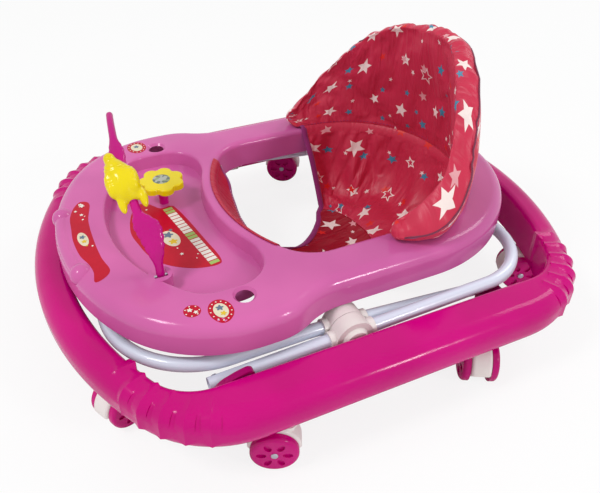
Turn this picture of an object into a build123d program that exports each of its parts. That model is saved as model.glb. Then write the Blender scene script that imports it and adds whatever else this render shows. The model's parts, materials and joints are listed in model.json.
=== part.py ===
# Baby walker with a folding tubular frame, a play tray, a fabric sling seat and eight twin casters.
# Frame: +Z up, floor at z = 0, front (play tray) towards -Y, symmetric about x = 0, millimetres.
# The rest pose is the folded one: both tube frames lie down inside the base ring.

from math import atan2, cos, degrees, hypot, pi, radians, sin, sqrt, tan
import os

from build123d import *

os.makedirs("parts", exist_ok=True)

# ---- driving sizes ----

# twin casters
wheel_radius = 26.5
wheel_width = 9
wheel_rounding = 4.5        # outer edge of the tread
wheel_rim = 4
wheel_face = 4              # thickness of the outer face
hood_gap = 2.8              # wheel rim to the outside of the hood
hood_width = 24             # hood body between the two wheels
hood_rounding = 4
hood_drop = 5               # bowl below the axle, inside the wheel's rim
caster_trail = 13           # swivel axis to axle
stem_radius = 4
stem_grip = 20              # stem length inside the bush
stem_seat = 15              # stem length inside the hood's boss
bush_radius = 8
bush_depth = 23
axle_radius = 2.5
axle_head = 4
axle_head_height = 1.4
window_count = 6            # petal windows in a wheel's face
window_place = 14
window_length = 11
window_width = 7
window_depth = 2.4
bush_flange = 2.8
swivel_gap = 0.4
running_clearance = 0.05    # radial, every turning fit

# base ring, blow moulded
ring_width = 572
ring_length = 684
ring_height = 53
ring_side_wall = 55         # plan width of the ring along its sides
ring_end_wall = 39          # plan width of the ring at its ends
ring_end_radius = 430       # bulge of the two ends
ring_corner_radius = 130
ring_inner_corner = 60
ring_skin = 4
rib_count = 6               # ribs round each corner
rib_pitch = 11.5            # degrees
rib_rise = 2.2
rib_foot = 9                # ribs start above the ring's underside
ring_top_rounding = 22
ring_inner_rounding = 8
ring_bottom_rounding = 24
caster_end_inset = 45       # end casters, in from the ring's ends

# folding frame
tube_radius = 8
tube_wall = 1.2
lower_pivot_y = 160         # rear hinge of the lower frame on the ring
lower_pivot_z = 79.5
cross_y = -36               # where the two frames cross
cross_z = 98
frame_side_gap = 9          # upper frame's tube to the ring's inner wall
frame_gap = 2               # between the two frames' tubes
front_bar_y = -279
front_bar_z = 101
rear_bar_gap = 12           # seat opening to the rear bar's middle
upper_slope = 0.0325        # rise of the upper frame towards the rear
guide_arm = 158             # crossing to the sliding pin
fold_travel = 20            # degrees from folded to highest

bend_offset = 42            # crossing to the lower frame's slight bend
tube_overhang = 9           # tube end past its pin
lower_bends = (150, 108, 108, 150)
upper_bends = (78, 78)
pin_radius = 3.5
rivet_radius = 3
slot_clearance = 0.7        # pin to the guide slot's wall
seat_clearance = 0.05       # radial, every pushed-in fit
wall_gap = 1.6              # pin end to the ring's inner wall
split_gap = 0.6             # between the two saddles
clamp_radius = 23
clamp_skirt = 12            # saddle below the rivet
clamp_wall = 2.6
clamp_length = 56
socket_length = 30
socket_drop = 13
guide_rim = 3
guide_foot = (-176, 84)
guide_foot_length = 46
guide_foot_height = 12

# play tray
tray_bottom = 122
tray_height = 38
tray_skin = 3
tray_half = 192             # half width of the seat end
lobe_half = 214             # half width of the play end
tray_front_y = -308
tray_rear_centre = 90
lobe_rear_y = -42
lobe_front_radius = 270
lobe_corner = 154
lobe_rear_corner = 80
waist_radius = 90
tray_edge = 16
tray_inner_edge = 10        # the same edge seen from below
opening_half = 136
opening_front_y = -103
opening_front_radius = 200
opening_centre = 82
opening_corner = 58
opening_edge = 8
recess_half = 153
recess_front_y = -248
recess_front_radius = 208
recess_ledge = 18           # strip between the recess and the seat opening
recess_depth = 19
recess_rear_y = -100
recess_edge = 4
recess_corner = 42
recess_bend = 55
recess_wall_draft = 8
cup_place = (170, -143)
cup_radius = 8
cup_dish = 13
bump_x = 58
bump_y = -291
bump_z = 152
bump_radius = 13
ridge_radius = 9
socket_boss = 13            # boss round a bar socket
socket_half = 7.5           # half width of the slot along the tray
socket_out = 6.5            # slot outwards and inwards from the hinge
socket_in_reach = 18
socket_depth = 15
clip_x = 70                 # saddle clips on the rear bar
clip_width = 22
clip_lip = 11               # clip below the bar's centre
clip_jaw = 10
rail_x = 30                 # rails the front bar slides under
rail_width = 8
rail_front_y = -290
rail_rear_y = -214
rail_gap = 1.2

# seat
sling_clearance = 1.5
sling_skin = 4
sling_depth = 124
sling_draft = 9
strap_half = 22             # half width of the crotch strap
leg_top = 118               # leg holes end below the front hem
leg_foot = 46
leg_front_y = -45           # hem in front of this line
leg_rear_y = 76             # rear edge of the leg holes at the rim
leg_lean = 8                # further back at the foot
leg_strap_y = 10            # where the strap meets the seat's bottom
leg_corner = 14
pad_thickness = 30          # at the rim
pad_half = 188              # half width of the bulge
pad_front_y = 66
pad_rear_y = 174            # front edge of the top
pad_top = 336
pad_bulge_z = 195
pad_clearance = 0.5
wing_front_z = 168

# toys
bar_span = 202
bar_rise = 33
bar_lift = 37               # degrees the far foot is raised
bar_width = 10
bar_thickness = 9
bar_lean = 15
tip_width = 8
tip_length = 6
leaf_place = 46             # from the foot along the span
leaf_tilt = 26
leaf_length = 58
leaf_width = 21
leaf_thickness = 5
rod_length = 40
rod_radius = 4.5
bar_foot = (101, -214, 157)
bar_pin_radius = 1.5
bar_pin_length = 22
dial_place = (-60, -165)
dial_radius = 29
dial_height = 8
dial_lift = 27              # underside above the recess floor
dial_post_radius = 6
dial_spindle = 3
dial_flange = 4
dial_flange_height = 2
dial_gap = 0.3              # post's shoulder to the dial
dial_petals = 7
dial_petal_radius = 10
insert_radius = 11
insert_height = 1.6

# toy animal on the bar's rod
body_radius = 19
body_length = 37
head_radius = 13
ear_radius = 5
limb_radius = 6
limb_length = 22

# ---- derived places ----

hood_radius = wheel_radius + hood_gap
ring_bottom = wheel_radius + hood_radius + swivel_gap + bush_flange
ring_top = ring_bottom + ring_height
ring_inner_x = ring_width / 2 - ring_side_wall
ring_inner_y = ring_length / 2 - ring_end_wall
outer_half = ring_inner_x - frame_side_gap - tube_radius      # upper frame, which runs outside
inner_half = outer_half - 2 * tube_radius - frame_gap         # lower frame, which runs inside
rear_bar_y = opening_centre + opening_half + rear_bar_gap
tray_top_z = tray_bottom + tray_height
recess_floor = tray_top_z - recess_depth
pan_front_y = recess_front_y - tray_skin
lower_arm = hypot(lower_pivot_y - cross_y, cross_z - lower_pivot_z)
lower_slope = (cross_z - lower_pivot_z) / (lower_pivot_y - cross_y)
rear_bar_z = cross_z + upper_slope * (rear_bar_y - cross_y)
upper_rest = atan2(upper_slope, 1)
lower_rest = atan2(lower_slope, 1)


def crossing_at(turn):
    """Crossing point (y, z) when the lower frame has turned up by so many degrees."""
    angle = lower_rest + radians(turn)
    return lower_pivot_y - lower_arm * cos(angle), lower_pivot_z + lower_arm * sin(angle)


def slide_pin_at(turn):
    """Sliding pin of the upper frame (y, z) at the same fold."""
    angle = upper_rest + radians(turn)
    y, z = crossing_at(turn)
    return y - guide_arm * cos(angle), z - guide_arm * sin(angle)


def finish(part, name):
    part.label = name
    export_step(part, f"parts/{name}.step")


# ---- base ring ----


def bulged_outline(width, length, corner):
    """Rectangle with bulged ends and rounded corners."""
    with BuildSketch() as outline:
        Rectangle(width, length)
        for side in (-1, 1):
            with Locations((0, side * (length / 2 - ring_end_radius))):
                Circle(ring_end_radius, mode=Mode.INTERSECT)
        fillet(outline.vertices(), corner)
    return outline.sketch


def corner_reach(centre, angle):
    """Distance from a corner centre to the ring's outline, in the corner's own quadrant."""
    ux, uy = cos(radians(angle)), sin(radians(angle))
    dx, dy = centre[0], centre[1] - (ring_length / 2 - ring_end_radius)
    along = dx * ux + dy * uy
    to_end = -along + sqrt(along**2 + ring_end_radius**2 - dx**2 - dy**2)
    return min(ring_corner_radius, to_end)


corner_x = ring_width / 2 - ring_corner_radius
corner_y = ring_length / 2 - ring_end_radius
corner_y += sqrt((ring_end_radius - ring_corner_radius) ** 2 - corner_x**2)

caster_end_y = ring_length / 2 - caster_end_inset
caster_places = {
    "front_left": (142, -caster_end_y, 205),
    "front_right": (-142, -caster_end_y, 160),
    "side_front_left": (ring_width / 2 - 22, -137, -24),
    "side_front_right": (28 - ring_width / 2, -136, 190),
    "side_rear_left": (ring_width / 2 - 41, 128, 62),
    "side_rear_right": (27 - ring_width / 2, 108, -30),
    "rear_left": (142, caster_end_y, -28),
    "rear_right": (-142, caster_end_y, 15),
}

# ribs round one corner, copied to the other three
with BuildPart() as ribs:
    for step in range(rib_count):
        angle = 24 + step * rib_pitch
        reach = corner_reach((corner_x, corner_y), angle) + rib_rise
        rib_root = ring_corner_radius - 32
        rib_top = ring_height + rib_rise * 0.7
        radial = Plane(
            origin=(corner_x, corner_y, ring_bottom),
            x_dir=(cos(radians(angle)), sin(radians(angle)), 0),
            z_dir=(sin(radians(angle)), -cos(radians(angle)), 0),
        )
        with BuildSketch(radial) as section:
            with BuildLine():
                Polyline(
                    (rib_root, rib_foot),
                    (reach - rib_foot, rib_foot),
                    (reach, 2 * rib_foot),
                    (reach, rib_top),
                    (rib_root, rib_top),
                    close=True,
                )
            make_face()
            fillet(section.vertices().sort_by(lambda v: hypot(v.X, v.Y) + v.Z)[-1], ring_top_rounding - 4)
        extrude(amount=10, both=True, taper=19)

# hollow inside the ring
cavity_top_chamfer = ring_top_rounding - 2 * ring_skin
cavity_bottom_chamfer = ring_bottom_rounding - 2 * ring_skin
with BuildPart() as cavity:
    with BuildSketch(Plane.XY.offset(ring_bottom + ring_skin)):
        add(
            bulged_outline(
                ring_width - 2 * ring_skin, ring_length - 2 * ring_skin, ring_corner_radius - ring_skin
            )
        )
        add(
            bulged_outline(
                2 * (ring_inner_x + ring_skin), 2 * (ring_inner_y + ring_skin), ring_inner_corner + ring_skin
            ),
            mode=Mode.SUBTRACT,
        )
    extrude(amount=ring_height - 2 * ring_skin)
    chamfer(cavity.faces().sort_by(Axis.Z)[-1].outer_wire().edges(), cavity_top_chamfer)
    chamfer(cavity.faces().sort_by(Axis.Z)[0].outer_wire().edges(), cavity_bottom_chamfer)

with BuildPart() as base_ring:
    with BuildSketch(Plane.XY.offset(ring_bottom)):
        add(bulged_outline(ring_width, ring_length, ring_corner_radius))
        add(bulged_outline(2 * ring_inner_x, 2 * ring_inner_y, ring_inner_corner), mode=Mode.SUBTRACT)
    extrude(amount=ring_height)
    top = base_ring.faces().sort_by(Axis.Z)[-1]
    fillet(top.outer_wire().edges(), ring_top_rounding)
    top = base_ring.faces().sort_by(Axis.Z)[-1]
    fillet(top.inner_wires()[0].edges(), ring_inner_rounding)
    bottom = base_ring.faces().sort_by(Axis.Z)[0]
    fillet(bottom.outer_wire().edges(), ring_bottom_rounding)
    add(ribs.part)
    add(mirror(ribs.part, about=Plane.YZ, mode=Mode.PRIVATE))
    add(mirror(ribs.part, about=Plane.XZ, mode=Mode.PRIVATE))
    add(mirror(mirror(ribs.part, about=Plane.YZ, mode=Mode.PRIVATE), about=Plane.XZ, mode=Mode.PRIVATE))
    add(cavity.part, mode=Mode.SUBTRACT)
    # a hole in the floor for every caster bush
    with Locations([(x, y, ring_bottom) for x, y, turn in caster_places.values()]):
        Cylinder(bush_radius, 2 * bush_depth, mode=Mode.SUBTRACT)
finish(base_ring.part, "base_ring")

with BuildPart() as caster_bushes:
    with Locations([(x, y, ring_bottom) for x, y, turn in caster_places.values()]):
        Cylinder(bush_radius + 4, bush_flange, align=(Align.CENTER, Align.CENTER, Align.MAX))
        Cylinder(bush_radius, bush_depth, align=(Align.CENTER, Align.CENTER, Align.MIN))
        Cylinder(stem_radius + running_clearance, 2 * stem_grip + 1, mode=Mode.SUBTRACT)
finish(caster_bushes.part, "caster_bushes")


# ---- casters, built round the swivel axis with the axle along X ----

boss_top = ring_bottom - bush_flange - swivel_gap
hood_half = hood_width / 2
wheel_inside = hood_half + 0.5
wheel_outside = wheel_inside + wheel_width
axle_line = Plane(origin=(0, -caster_trail, wheel_radius), x_dir=(0, 1, 0), z_dir=(1, 0, 0))
above_swivel = (Align.CENTER, Align.CENTER, Align.MIN)

with BuildPart() as hood:
    # bowl between the wheels, and a larger half disc over it
    with BuildSketch(axle_line):
        Circle(wheel_radius - hood_drop)
    extrude(amount=hood_half, both=True)
    fillet(hood.edges().filter_by(GeomType.CIRCLE), hood_rounding)
    with BuildSketch(axle_line):
        Circle(hood_radius)
        with Locations((0, -hood_radius)):
            Rectangle(3 * hood_radius, 2 * hood_radius, mode=Mode.SUBTRACT)
    extrude(amount=hood_half, both=True)
    fillet(hood.edges().filter_by(lambda e: abs(e.length - pi * hood_radius) < 0.5), hood_rounding)
    # boss round the stem, cut flat just under the bush
    with BuildSketch(Plane.XY.offset(boss_top)):
        Circle(stem_radius + 5)
    extrude(amount=-24)
    with Locations((0, 0, boss_top)):
        Box(200, 200, 60, align=above_swivel, mode=Mode.SUBTRACT)
        Cylinder(stem_radius, 2 * stem_seat, mode=Mode.SUBTRACT)
    with BuildSketch(axle_line):
        Circle(axle_radius + running_clearance)
    extrude(amount=2 * hood_width, both=True, mode=Mode.SUBTRACT)

with BuildPart() as stem:
    with BuildSketch(Plane.XY.offset(boss_top - stem_seat)):
        Circle(stem_radius)
    extrude(amount=stem_seat + swivel_gap + bush_flange + stem_grip)
    chamfer(stem.faces().sort_by(Axis.Z)[-1].edges(), 1)

with BuildPart() as axle:
    with BuildSketch(axle_line):
        Circle(axle_radius)
    extrude(amount=wheel_outside + axle_head_height / 2, both=True)
    # domed head on each end
    for side in (-1, 1):
        with BuildSketch(axle_line.offset(side * wheel_outside)):
            Circle(axle_head)
        extrude(amount=side * axle_head_height)
    fillet(axle.faces().sort_by(Axis.X)[-1].edges(), axle_head_height * 0.9)
    fillet(axle.faces().sort_by(Axis.X)[0].edges(), axle_head_height * 0.9)

with BuildPart() as wheel:
    with BuildSketch(axle_line.offset(wheel_inside)):
        Circle(wheel_radius)
    extrude(amount=wheel_width)
    fillet(wheel.faces().sort_by(Axis.X)[-1].edges(), wheel_rounding)
    # hollow inner side round the hub, and petal windows in the outer face
    with BuildSketch(axle_line.offset(wheel_inside)):
        Circle(wheel_radius - wheel_rim)
        Circle(axle_radius + 3.5, mode=Mode.SUBTRACT)
    extrude(amount=wheel_width - wheel_face, mode=Mode.SUBTRACT)
    with BuildSketch(axle_line.offset(wheel_outside)):
        with PolarLocations(window_place, window_count):
            Ellipse(window_length / 2, window_width / 2)
    extrude(amount=-window_depth, mode=Mode.SUBTRACT)
    with BuildSketch(axle_line):
        Circle(axle_radius)
    extrude(amount=2 * wheel_outside, mode=Mode.SUBTRACT)


def both_sides(part):
    """The part and its mirror image, as separate solids."""
    return Compound([*part.solids(), *mirror(part, about=Plane.YZ).solids()])


wheel_pair = both_sides(wheel.part)
for place, (x, y, turn) in caster_places.items():
    spot = Location((x, y, 0), (0, 0, turn))
    finish(hood.part.moved(spot), f"caster_{place}_hood")
    finish(stem.part.moved(spot), f"caster_{place}_stem")
    finish(axle.part.moved(spot), f"caster_{place}_axle")
    finish(wheel_pair.moved(spot), f"caster_{place}_wheels")


# ---- folding frame ----


def tube(points, radii):
    """Round tube along straight runs joined by tangent arcs."""
    with BuildPart() as pipe:
        with BuildLine():
            run = FilletPolyline(*points, radius=radii)
        with BuildSketch(Plane(origin=run @ 0, z_dir=run % 0)):
            Circle(tube_radius)
            Circle(tube_radius - tube_wall, mode=Mode.SUBTRACT)
        sweep()
    return pipe.part


def across(place, radius, x_from, x_to):
    """Round solid along X through place (y, z)."""
    with BuildPart() as pin:
        with BuildSketch(Plane(origin=(x_from, *place), x_dir=(0, 1, 0), z_dir=(1, 0, 0))):
            Circle(radius)
        extrude(amount=x_to - x_from)
    return pin.part


hinge_place = (lower_pivot_y, lower_pivot_z)
cross_place = (cross_y, cross_z)
slide_place = slide_pin_at(0)
split_x = (inner_half + outer_half) / 2
pin_end = ring_inner_x - wall_gap
drill = tube_radius + 4
lower_bend_y = cross_y - bend_offset
lower_end_y = lower_pivot_y + tube_overhang


def lower_line(y):
    """Height of the lower frame's straight legs."""
    return cross_z - lower_slope * (y - cross_y)


def upper_line(y):
    """Height of the upper frame, straight from end to end."""
    return cross_z + upper_slope * (y - cross_y)


lower_left = [
    (inner_half, lower_end_y, lower_line(lower_end_y)),
    (inner_half, lower_bend_y, lower_line(lower_bend_y)),
    (inner_half, front_bar_y, front_bar_z),
]
upper_end_y = slide_place[0] - tube_overhang
upper_left = [
    (outer_half, upper_end_y, upper_line(upper_end_y)),
    (outer_half, rear_bar_y, upper_line(rear_bar_y)),
]
lower_tube = tube(lower_left + [(-x, y, z) for x, y, z in reversed(lower_left)], lower_bends)
upper_tube = tube(upper_left + [(-x, y, z) for x, y, z in reversed(upper_left)], upper_bends)
lower_tube -= both_sides(across(hinge_place, pin_radius, inner_half - drill, inner_half + drill))
lower_tube -= both_sides(
    across(cross_place, rivet_radius + running_clearance, inner_half - drill, inner_half + drill)
)
upper_tube -= both_sides(across(slide_place, pin_radius, outer_half - drill, outer_half + drill))
upper_tube -= both_sides(across(cross_place, rivet_radius, outer_half - drill, outer_half + drill))
finish(lower_tube, "lower_frame_tube")
finish(upper_tube, "upper_frame_tube")
hinge_pin = across(hinge_place, pin_radius, inner_half - tube_radius - 1, pin_end)
finish(both_sides(hinge_pin), "lower_hinge_pins")
slide_pin = across(slide_place, pin_radius, outer_half - tube_radius - 1, pin_end)
finish(both_sides(slide_pin), "upper_slide_pins")


# saddles at the crossing: one round each tube, side by side, with a rivet through both
def saddle(centre_x, slope, face_in, face_out, boss_out, bore):
    middle = Plane(origin=(face_in, *cross_place), x_dir=(0, 1, 0), z_dir=(1, 0, 0))
    run = Plane(origin=(centre_x, *cross_place), x_dir=(1, 0, 0), z_dir=(0, 1, slope))
    with BuildPart() as clamp:
        with BuildSketch(middle):
            Circle(clamp_radius)
            with Locations((0, -2 * clamp_radius)):
                Rectangle(3 * clamp_radius, 4 * clamp_radius - 2 * clamp_skirt, mode=Mode.SUBTRACT)
        extrude(amount=face_out - face_in)
        with Locations(run):
            Cylinder(tube_radius + clamp_wall, clamp_length)
        with Locations(((face_in + face_out) / 2, *cross_place)):
            Box(face_out - face_in, 3 * clamp_radius, 3 * clamp_radius, mode=Mode.INTERSECT)
        if boss_out > face_out:
            with BuildSketch(middle.offset(face_out - face_in)):
                Circle(clamp_radius - 7)
            extrude(amount=boss_out - face_out, taper=30)
            with BuildSketch(middle.offset(boss_out - face_in)):
                Circle(rivet_radius + 3)
            extrude(amount=face_out - boss_out, mode=Mode.SUBTRACT)
        with Locations(run):
            Cylinder(tube_radius, 2 * clamp_length, mode=Mode.SUBTRACT)
        with BuildSketch(middle):
            Circle(bore)
        extrude(amount=2 * tube_radius + 20, both=True, mode=Mode.SUBTRACT)
    return clamp.part


inner_face = inner_half - tube_radius - clamp_wall
outer_face = outer_half + tube_radius + clamp_wall
lower_clamp = saddle(
    inner_half, -lower_slope, inner_face, split_x - split_gap / 2, 0, rivet_radius + running_clearance
)
upper_clamp = saddle(outer_half, upper_slope, split_x + split_gap / 2, outer_face, pin_end, rivet_radius)
finish(both_sides(lower_clamp), "lower_frame_clamps")
finish(both_sides(upper_clamp), "upper_frame_clamps")

with BuildPart() as rivet:
    with BuildSketch(Plane(origin=(inner_face - split_gap, *cross_place), x_dir=(0, 1, 0), z_dir=(1, 0, 0))):
        Circle(rivet_radius)
    extrude(amount=outer_face - inner_face + split_gap)
    with BuildSketch(Plane(origin=(outer_face, *cross_place), x_dir=(0, 1, 0), z_dir=(1, 0, 0))):
        Circle(rivet_radius + 2.4)
    extrude(amount=2)
    with BuildSketch(Plane(origin=(inner_face - split_gap, *cross_place), x_dir=(0, 1, 0), z_dir=(1, 0, 0))):
        Circle(rivet_radius + 2.4)
    extrude(amount=-2)
finish(both_sides(rivet.part), "cross_rivets")

# socket blocks on the ring, in which the lower frame hinges
socket_top = upper_line(lower_pivot_y) - tube_radius - 3
socket_in = inner_half + tube_radius + 2
with BuildPart() as socket:
    with BuildSketch(Plane(origin=(socket_in, *hinge_place), x_dir=(0, 1, 0), z_dir=(1, 0, 0))):
        with Locations((0, (socket_top - lower_pivot_z - socket_drop) / 2)):
            RectangleRounded(socket_length, socket_top - lower_pivot_z + socket_drop, 5)
        Circle(pin_radius + running_clearance, mode=Mode.SUBTRACT)
    extrude(amount=ring_inner_x - socket_in)
finish(both_sides(socket.part), "hinge_sockets")

# guide plates on the ring: a curved slot leads the upper frame's sliding pins
guide_in = outer_half + tube_radius + 1
slot_points = [slide_pin_at(fold_travel * step / 4) for step in range(5)]
slot_half = pin_radius + slot_clearance
with BuildPart() as guide:
    side_view = Plane(origin=(guide_in, 0, 0), x_dir=(0, 1, 0), z_dir=(1, 0, 0))
    with BuildSketch(side_view):
        with BuildLine() as slot_line:
            ThreePointArc(*slot_points[:3])
            ThreePointArc(*slot_points[2:])
        trace(slot_line.line, 2 * (slot_half + guide_rim))
        with Locations(*slot_points[::2]):
            Circle(slot_half + guide_rim)
        with Locations(guide_foot):
            SlotOverall(guide_foot_length, guide_foot_height)
    extrude(amount=ring_inner_x - guide_in)
    with BuildSketch(side_view):
        trace(slot_line.line, 2 * slot_half)
        with Locations(*slot_points[::2]):
            Circle(slot_half)
    extrude(amount=ring_inner_x - guide_in, mode=Mode.SUBTRACT)
finish(both_sides(guide.part), "slide_guides")


# ---- play tray ----


def tray_outline(inset):
    """Tray seen from above: round seat end, wider play end, waist between them."""
    with BuildSketch() as outline:
        with Locations((0, (tray_front_y + lobe_rear_y) / 2)):
            Rectangle(2 * (lobe_half - inset), lobe_rear_y - tray_front_y - 2 * inset)
        with Locations((0, tray_front_y + lobe_front_radius)):
            Circle(lobe_front_radius - inset, mode=Mode.INTERSECT)
        front = outline.vertices().filter_by(lambda v: v.Y < tray_front_y / 2)
        fillet(front, lobe_corner - inset)
        fillet(outline.vertices().sort_by(Axis.Y)[-2:], lobe_rear_corner - inset)
        with Locations((0, tray_rear_centre)):
            Circle(tray_half - inset)
        side_length = tray_rear_centre - lobe_rear_y + lobe_rear_corner
        with Locations((0, tray_rear_centre - side_length / 2)):
            Rectangle(2 * (tray_half - inset), side_length)
        waist = outline.vertices().filter_by(lambda v: abs(v.Y - lobe_rear_y + lobe_rear_corner / 2) < 30)
        fillet(waist, waist_radius + inset)
    return outline.sketch


def opening_outline(outset):
    """Seat opening: semicircle behind, flatter arc in front."""
    with BuildSketch() as outline:
        with Locations((0, opening_centre)):
            Circle(opening_half + outset)
        with Locations((0, (opening_front_y + opening_centre) / 2)):
            Rectangle(2 * (opening_half + outset), opening_centre - opening_front_y + 2 * outset)
        with Locations((0, opening_front_y + opening_front_radius)):
            Circle(opening_front_radius + outset, mode=Mode.INTERSECT)
        fillet(outline.vertices().sort_by(Axis.Y)[:2], opening_corner + outset)
    return outline.sketch


def recess_outline(outset):
    """Toy recess: arc in front, its rear edge following the seat opening."""
    with BuildSketch() as outline:
        with Locations((0, recess_front_y + recess_front_radius)):
            Circle(recess_front_radius + outset)
        with Locations((0, recess_rear_y + outset - recess_front_radius)):
            Rectangle(2 * (recess_half + outset), 2 * recess_front_radius, mode=Mode.INTERSECT)
        with Locations((0, opening_front_y + opening_front_radius)):
            Circle(opening_front_radius + recess_ledge - outset, mode=Mode.SUBTRACT)
        corners = outline.vertices().filter_by(lambda v: abs(v.X) > recess_half - 1)
        fillet(corners, recess_corner + outset)
        fillet(outline.vertices().group_by(Axis.Y)[-1].sort_by(lambda v: abs(v.X))[:2], recess_bend)
    return outline.sketch


# hollow under the tray, leaving a pan round the recess and a collar round the opening
with BuildPart() as hollow:
    with BuildSketch(Plane.XY.offset(tray_bottom)):
        add(tray_outline(tray_skin))
    extrude(amount=tray_height - tray_skin)
    chamfer(hollow.faces().sort_by(Axis.Z)[-1].edges(), tray_inner_edge)
    with BuildSketch(Plane.XY.offset(tray_top_z)):
        add(recess_outline(tray_skin))
    extrude(amount=-recess_depth - tray_skin, mode=Mode.SUBTRACT)
    with BuildSketch(Plane.XY.offset(tray_top_z)):
        add(opening_outline(tray_skin))
    extrude(amount=-tray_height, mode=Mode.SUBTRACT)

with BuildPart() as tray_top:
    with BuildSketch(Plane.XY.offset(tray_bottom)):
        add(tray_outline(0))
    extrude(amount=tray_height)
    fillet(tray_top.faces().sort_by(Axis.Z)[-1].edges(), tray_edge)
    # recess with sloping walls
    with BuildSketch(Plane.XY.offset(tray_top_z)):
        add(recess_outline(0))
    extrude(amount=-recess_depth, taper=recess_wall_draft, mode=Mode.SUBTRACT)
    add(hollow.part, mode=Mode.SUBTRACT)
    with BuildSketch(Plane.XY.offset(tray_top_z)):
        add(opening_outline(0))
    extrude(amount=-tray_height, mode=Mode.SUBTRACT)
    # soften the opening and the recess
    top = tray_top.faces().filter_by(Plane.XY).sort_by(Axis.Z)[-1]
    rims = top.inner_wires().sort_by(lambda wire: wire.bounding_box().max.Y)
    fillet(rims[-1].edges(), opening_edge)
    top = tray_top.faces().filter_by(Plane.XY).sort_by(Axis.Z)[-1]
    rims = top.inner_wires().sort_by(lambda wire: wire.bounding_box().max.Y)
    fillet(rims[0].edges(), recess_edge)
    # ridge between two round bumps along the front
    bump_reach = hypot(bump_x, bump_y - tray_front_y - lobe_front_radius)
    bump_angle = degrees(atan2(bump_x, tray_front_y + lobe_front_radius - bump_y))
    with BuildLine(Plane.XY.offset(bump_z)):
        ridge = CenterArc(
            (0, tray_front_y + lobe_front_radius), bump_reach, 270 - bump_angle, 2 * bump_angle
        )
    with BuildSketch(Plane(origin=ridge @ 0, z_dir=ridge % 0)):
        Circle(ridge_radius)
    sweep()
    with Locations((bump_x, bump_y, bump_z), (-bump_x, bump_y, bump_z)):
        Sphere(bump_radius)
    # hole in the recess for the dial's post
    with BuildSketch(Plane.XY.offset(recess_floor)):
        with Locations(dial_place):
            Circle(dial_post_radius + seat_clearance)
    extrude(amount=-2 * tray_skin, mode=Mode.SUBTRACT)
    # cup holes in shallow dishes
    cup_places = [(side * cup_place[0], cup_place[1]) for side in (-1, 1)]
    with BuildSketch(Plane.XY.offset(tray_top_z)):
        with Locations(cup_places):
            Circle(cup_dish)
    extrude(amount=-3, taper=45, mode=Mode.SUBTRACT)
    with BuildSketch(Plane.XY.offset(tray_top_z)):
        with Locations(cup_places):
            Circle(cup_radius)
    extrude(amount=-2 * tray_skin, mode=Mode.SUBTRACT)
    # slotted bosses for the toy bar's tips
    for side in (-1, 1):
        foot = (side * bar_foot[0], bar_foot[1])
        with BuildSketch(Plane.XY.offset(tray_top_z)):
            with Locations(foot):
                Circle(socket_boss)
        extrude(amount=-recess_depth - tray_skin)
        socket_x = foot[0] + side * (socket_out - socket_in_reach) / 2
        with Locations((socket_x, foot[1], tray_top_z - socket_depth)):
            Box(
                socket_out + socket_in_reach,
                2 * socket_half,
                2 * socket_depth,
                align=(Align.CENTER, Align.CENTER, Align.MIN),
                mode=Mode.SUBTRACT,
            )
    with BuildSketch(Plane(origin=bar_foot, x_dir=(1, 0, 0), z_dir=(0, 1, 0))):
        Circle(bar_pin_radius)
    extrude(amount=bar_pin_length / 2, both=True, mode=Mode.SUBTRACT)
finish(tray_top.part, "tray_top")

with BuildPart() as bar_hinge_pin:
    with BuildSketch(Plane(origin=bar_foot, x_dir=(1, 0, 0), z_dir=(0, 1, 0))):
        Circle(bar_pin_radius)
    extrude(amount=bar_pin_length / 2, both=True)
finish(bar_hinge_pin.part, "toy_bar_pin")

# saddle clips that hang the tray on the upper frame's rear bar
rear_bar = (rear_bar_y, rear_bar_z)
clip_roof = tray_top_z - tray_skin
with BuildPart() as clips:
    with BuildSketch(Plane(origin=(0, *rear_bar), x_dir=(0, 1, 0), z_dir=(1, 0, 0))):
        Circle(clip_jaw)
        with Locations((0, -clip_lip / 2)):
            Rectangle(2 * clip_jaw, clip_lip)
        with Locations((0, (clip_roof - rear_bar_z) / 2)):
            Rectangle(2 * clip_jaw, clip_roof - rear_bar_z)
        Circle(tube_radius + running_clearance, mode=Mode.SUBTRACT)
        with Locations((0, -tube_radius)):
            Rectangle(2 * (tube_radius + running_clearance), 2 * tube_radius, mode=Mode.SUBTRACT)
    extrude(amount=clip_width / 2, both=True)
clip_pair = Compound([Pos(side * clip_x, 0, 0) * solid for side in (-1, 1) for solid in clips.part.solids()])
finish(clip_pair, "tray_saddle_clips")

# rails that rest on the lower frame's front bar
bar_rest = (front_bar_y, front_bar_z + tube_radius + rail_gap)
rail_roof = bump_z - ridge_radius - rail_gap
with BuildPart() as rails:
    with BuildSketch(Plane(origin=(-rail_width / 2, 0, 0), x_dir=(0, 1, 0), z_dir=(1, 0, 0))):
        with BuildLine():
            Polyline(
                (rail_front_y, bar_rest[1]),
                (front_bar_y + 3, bar_rest[1]),
                (front_bar_y + 14, bar_rest[1] - 4),
                (front_bar_y + 40, bar_rest[1] - 7.6),
                (rail_rear_y, bar_rest[1] - 7.6),
                (rail_rear_y, recess_floor - tray_skin),
                (pan_front_y, recess_floor - tray_skin),
                (pan_front_y, rail_roof),
                (rail_front_y, rail_roof),
                close=True,
            )
        make_face()
    extrude(amount=rail_width)
rail_pair = Compound([Pos(side * rail_x, 0, 0) * solid for side in (-1, 1) for solid in rails.part.solids()])
finish(rail_pair, "tray_front_rails")

# ---- toys ----

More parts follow.
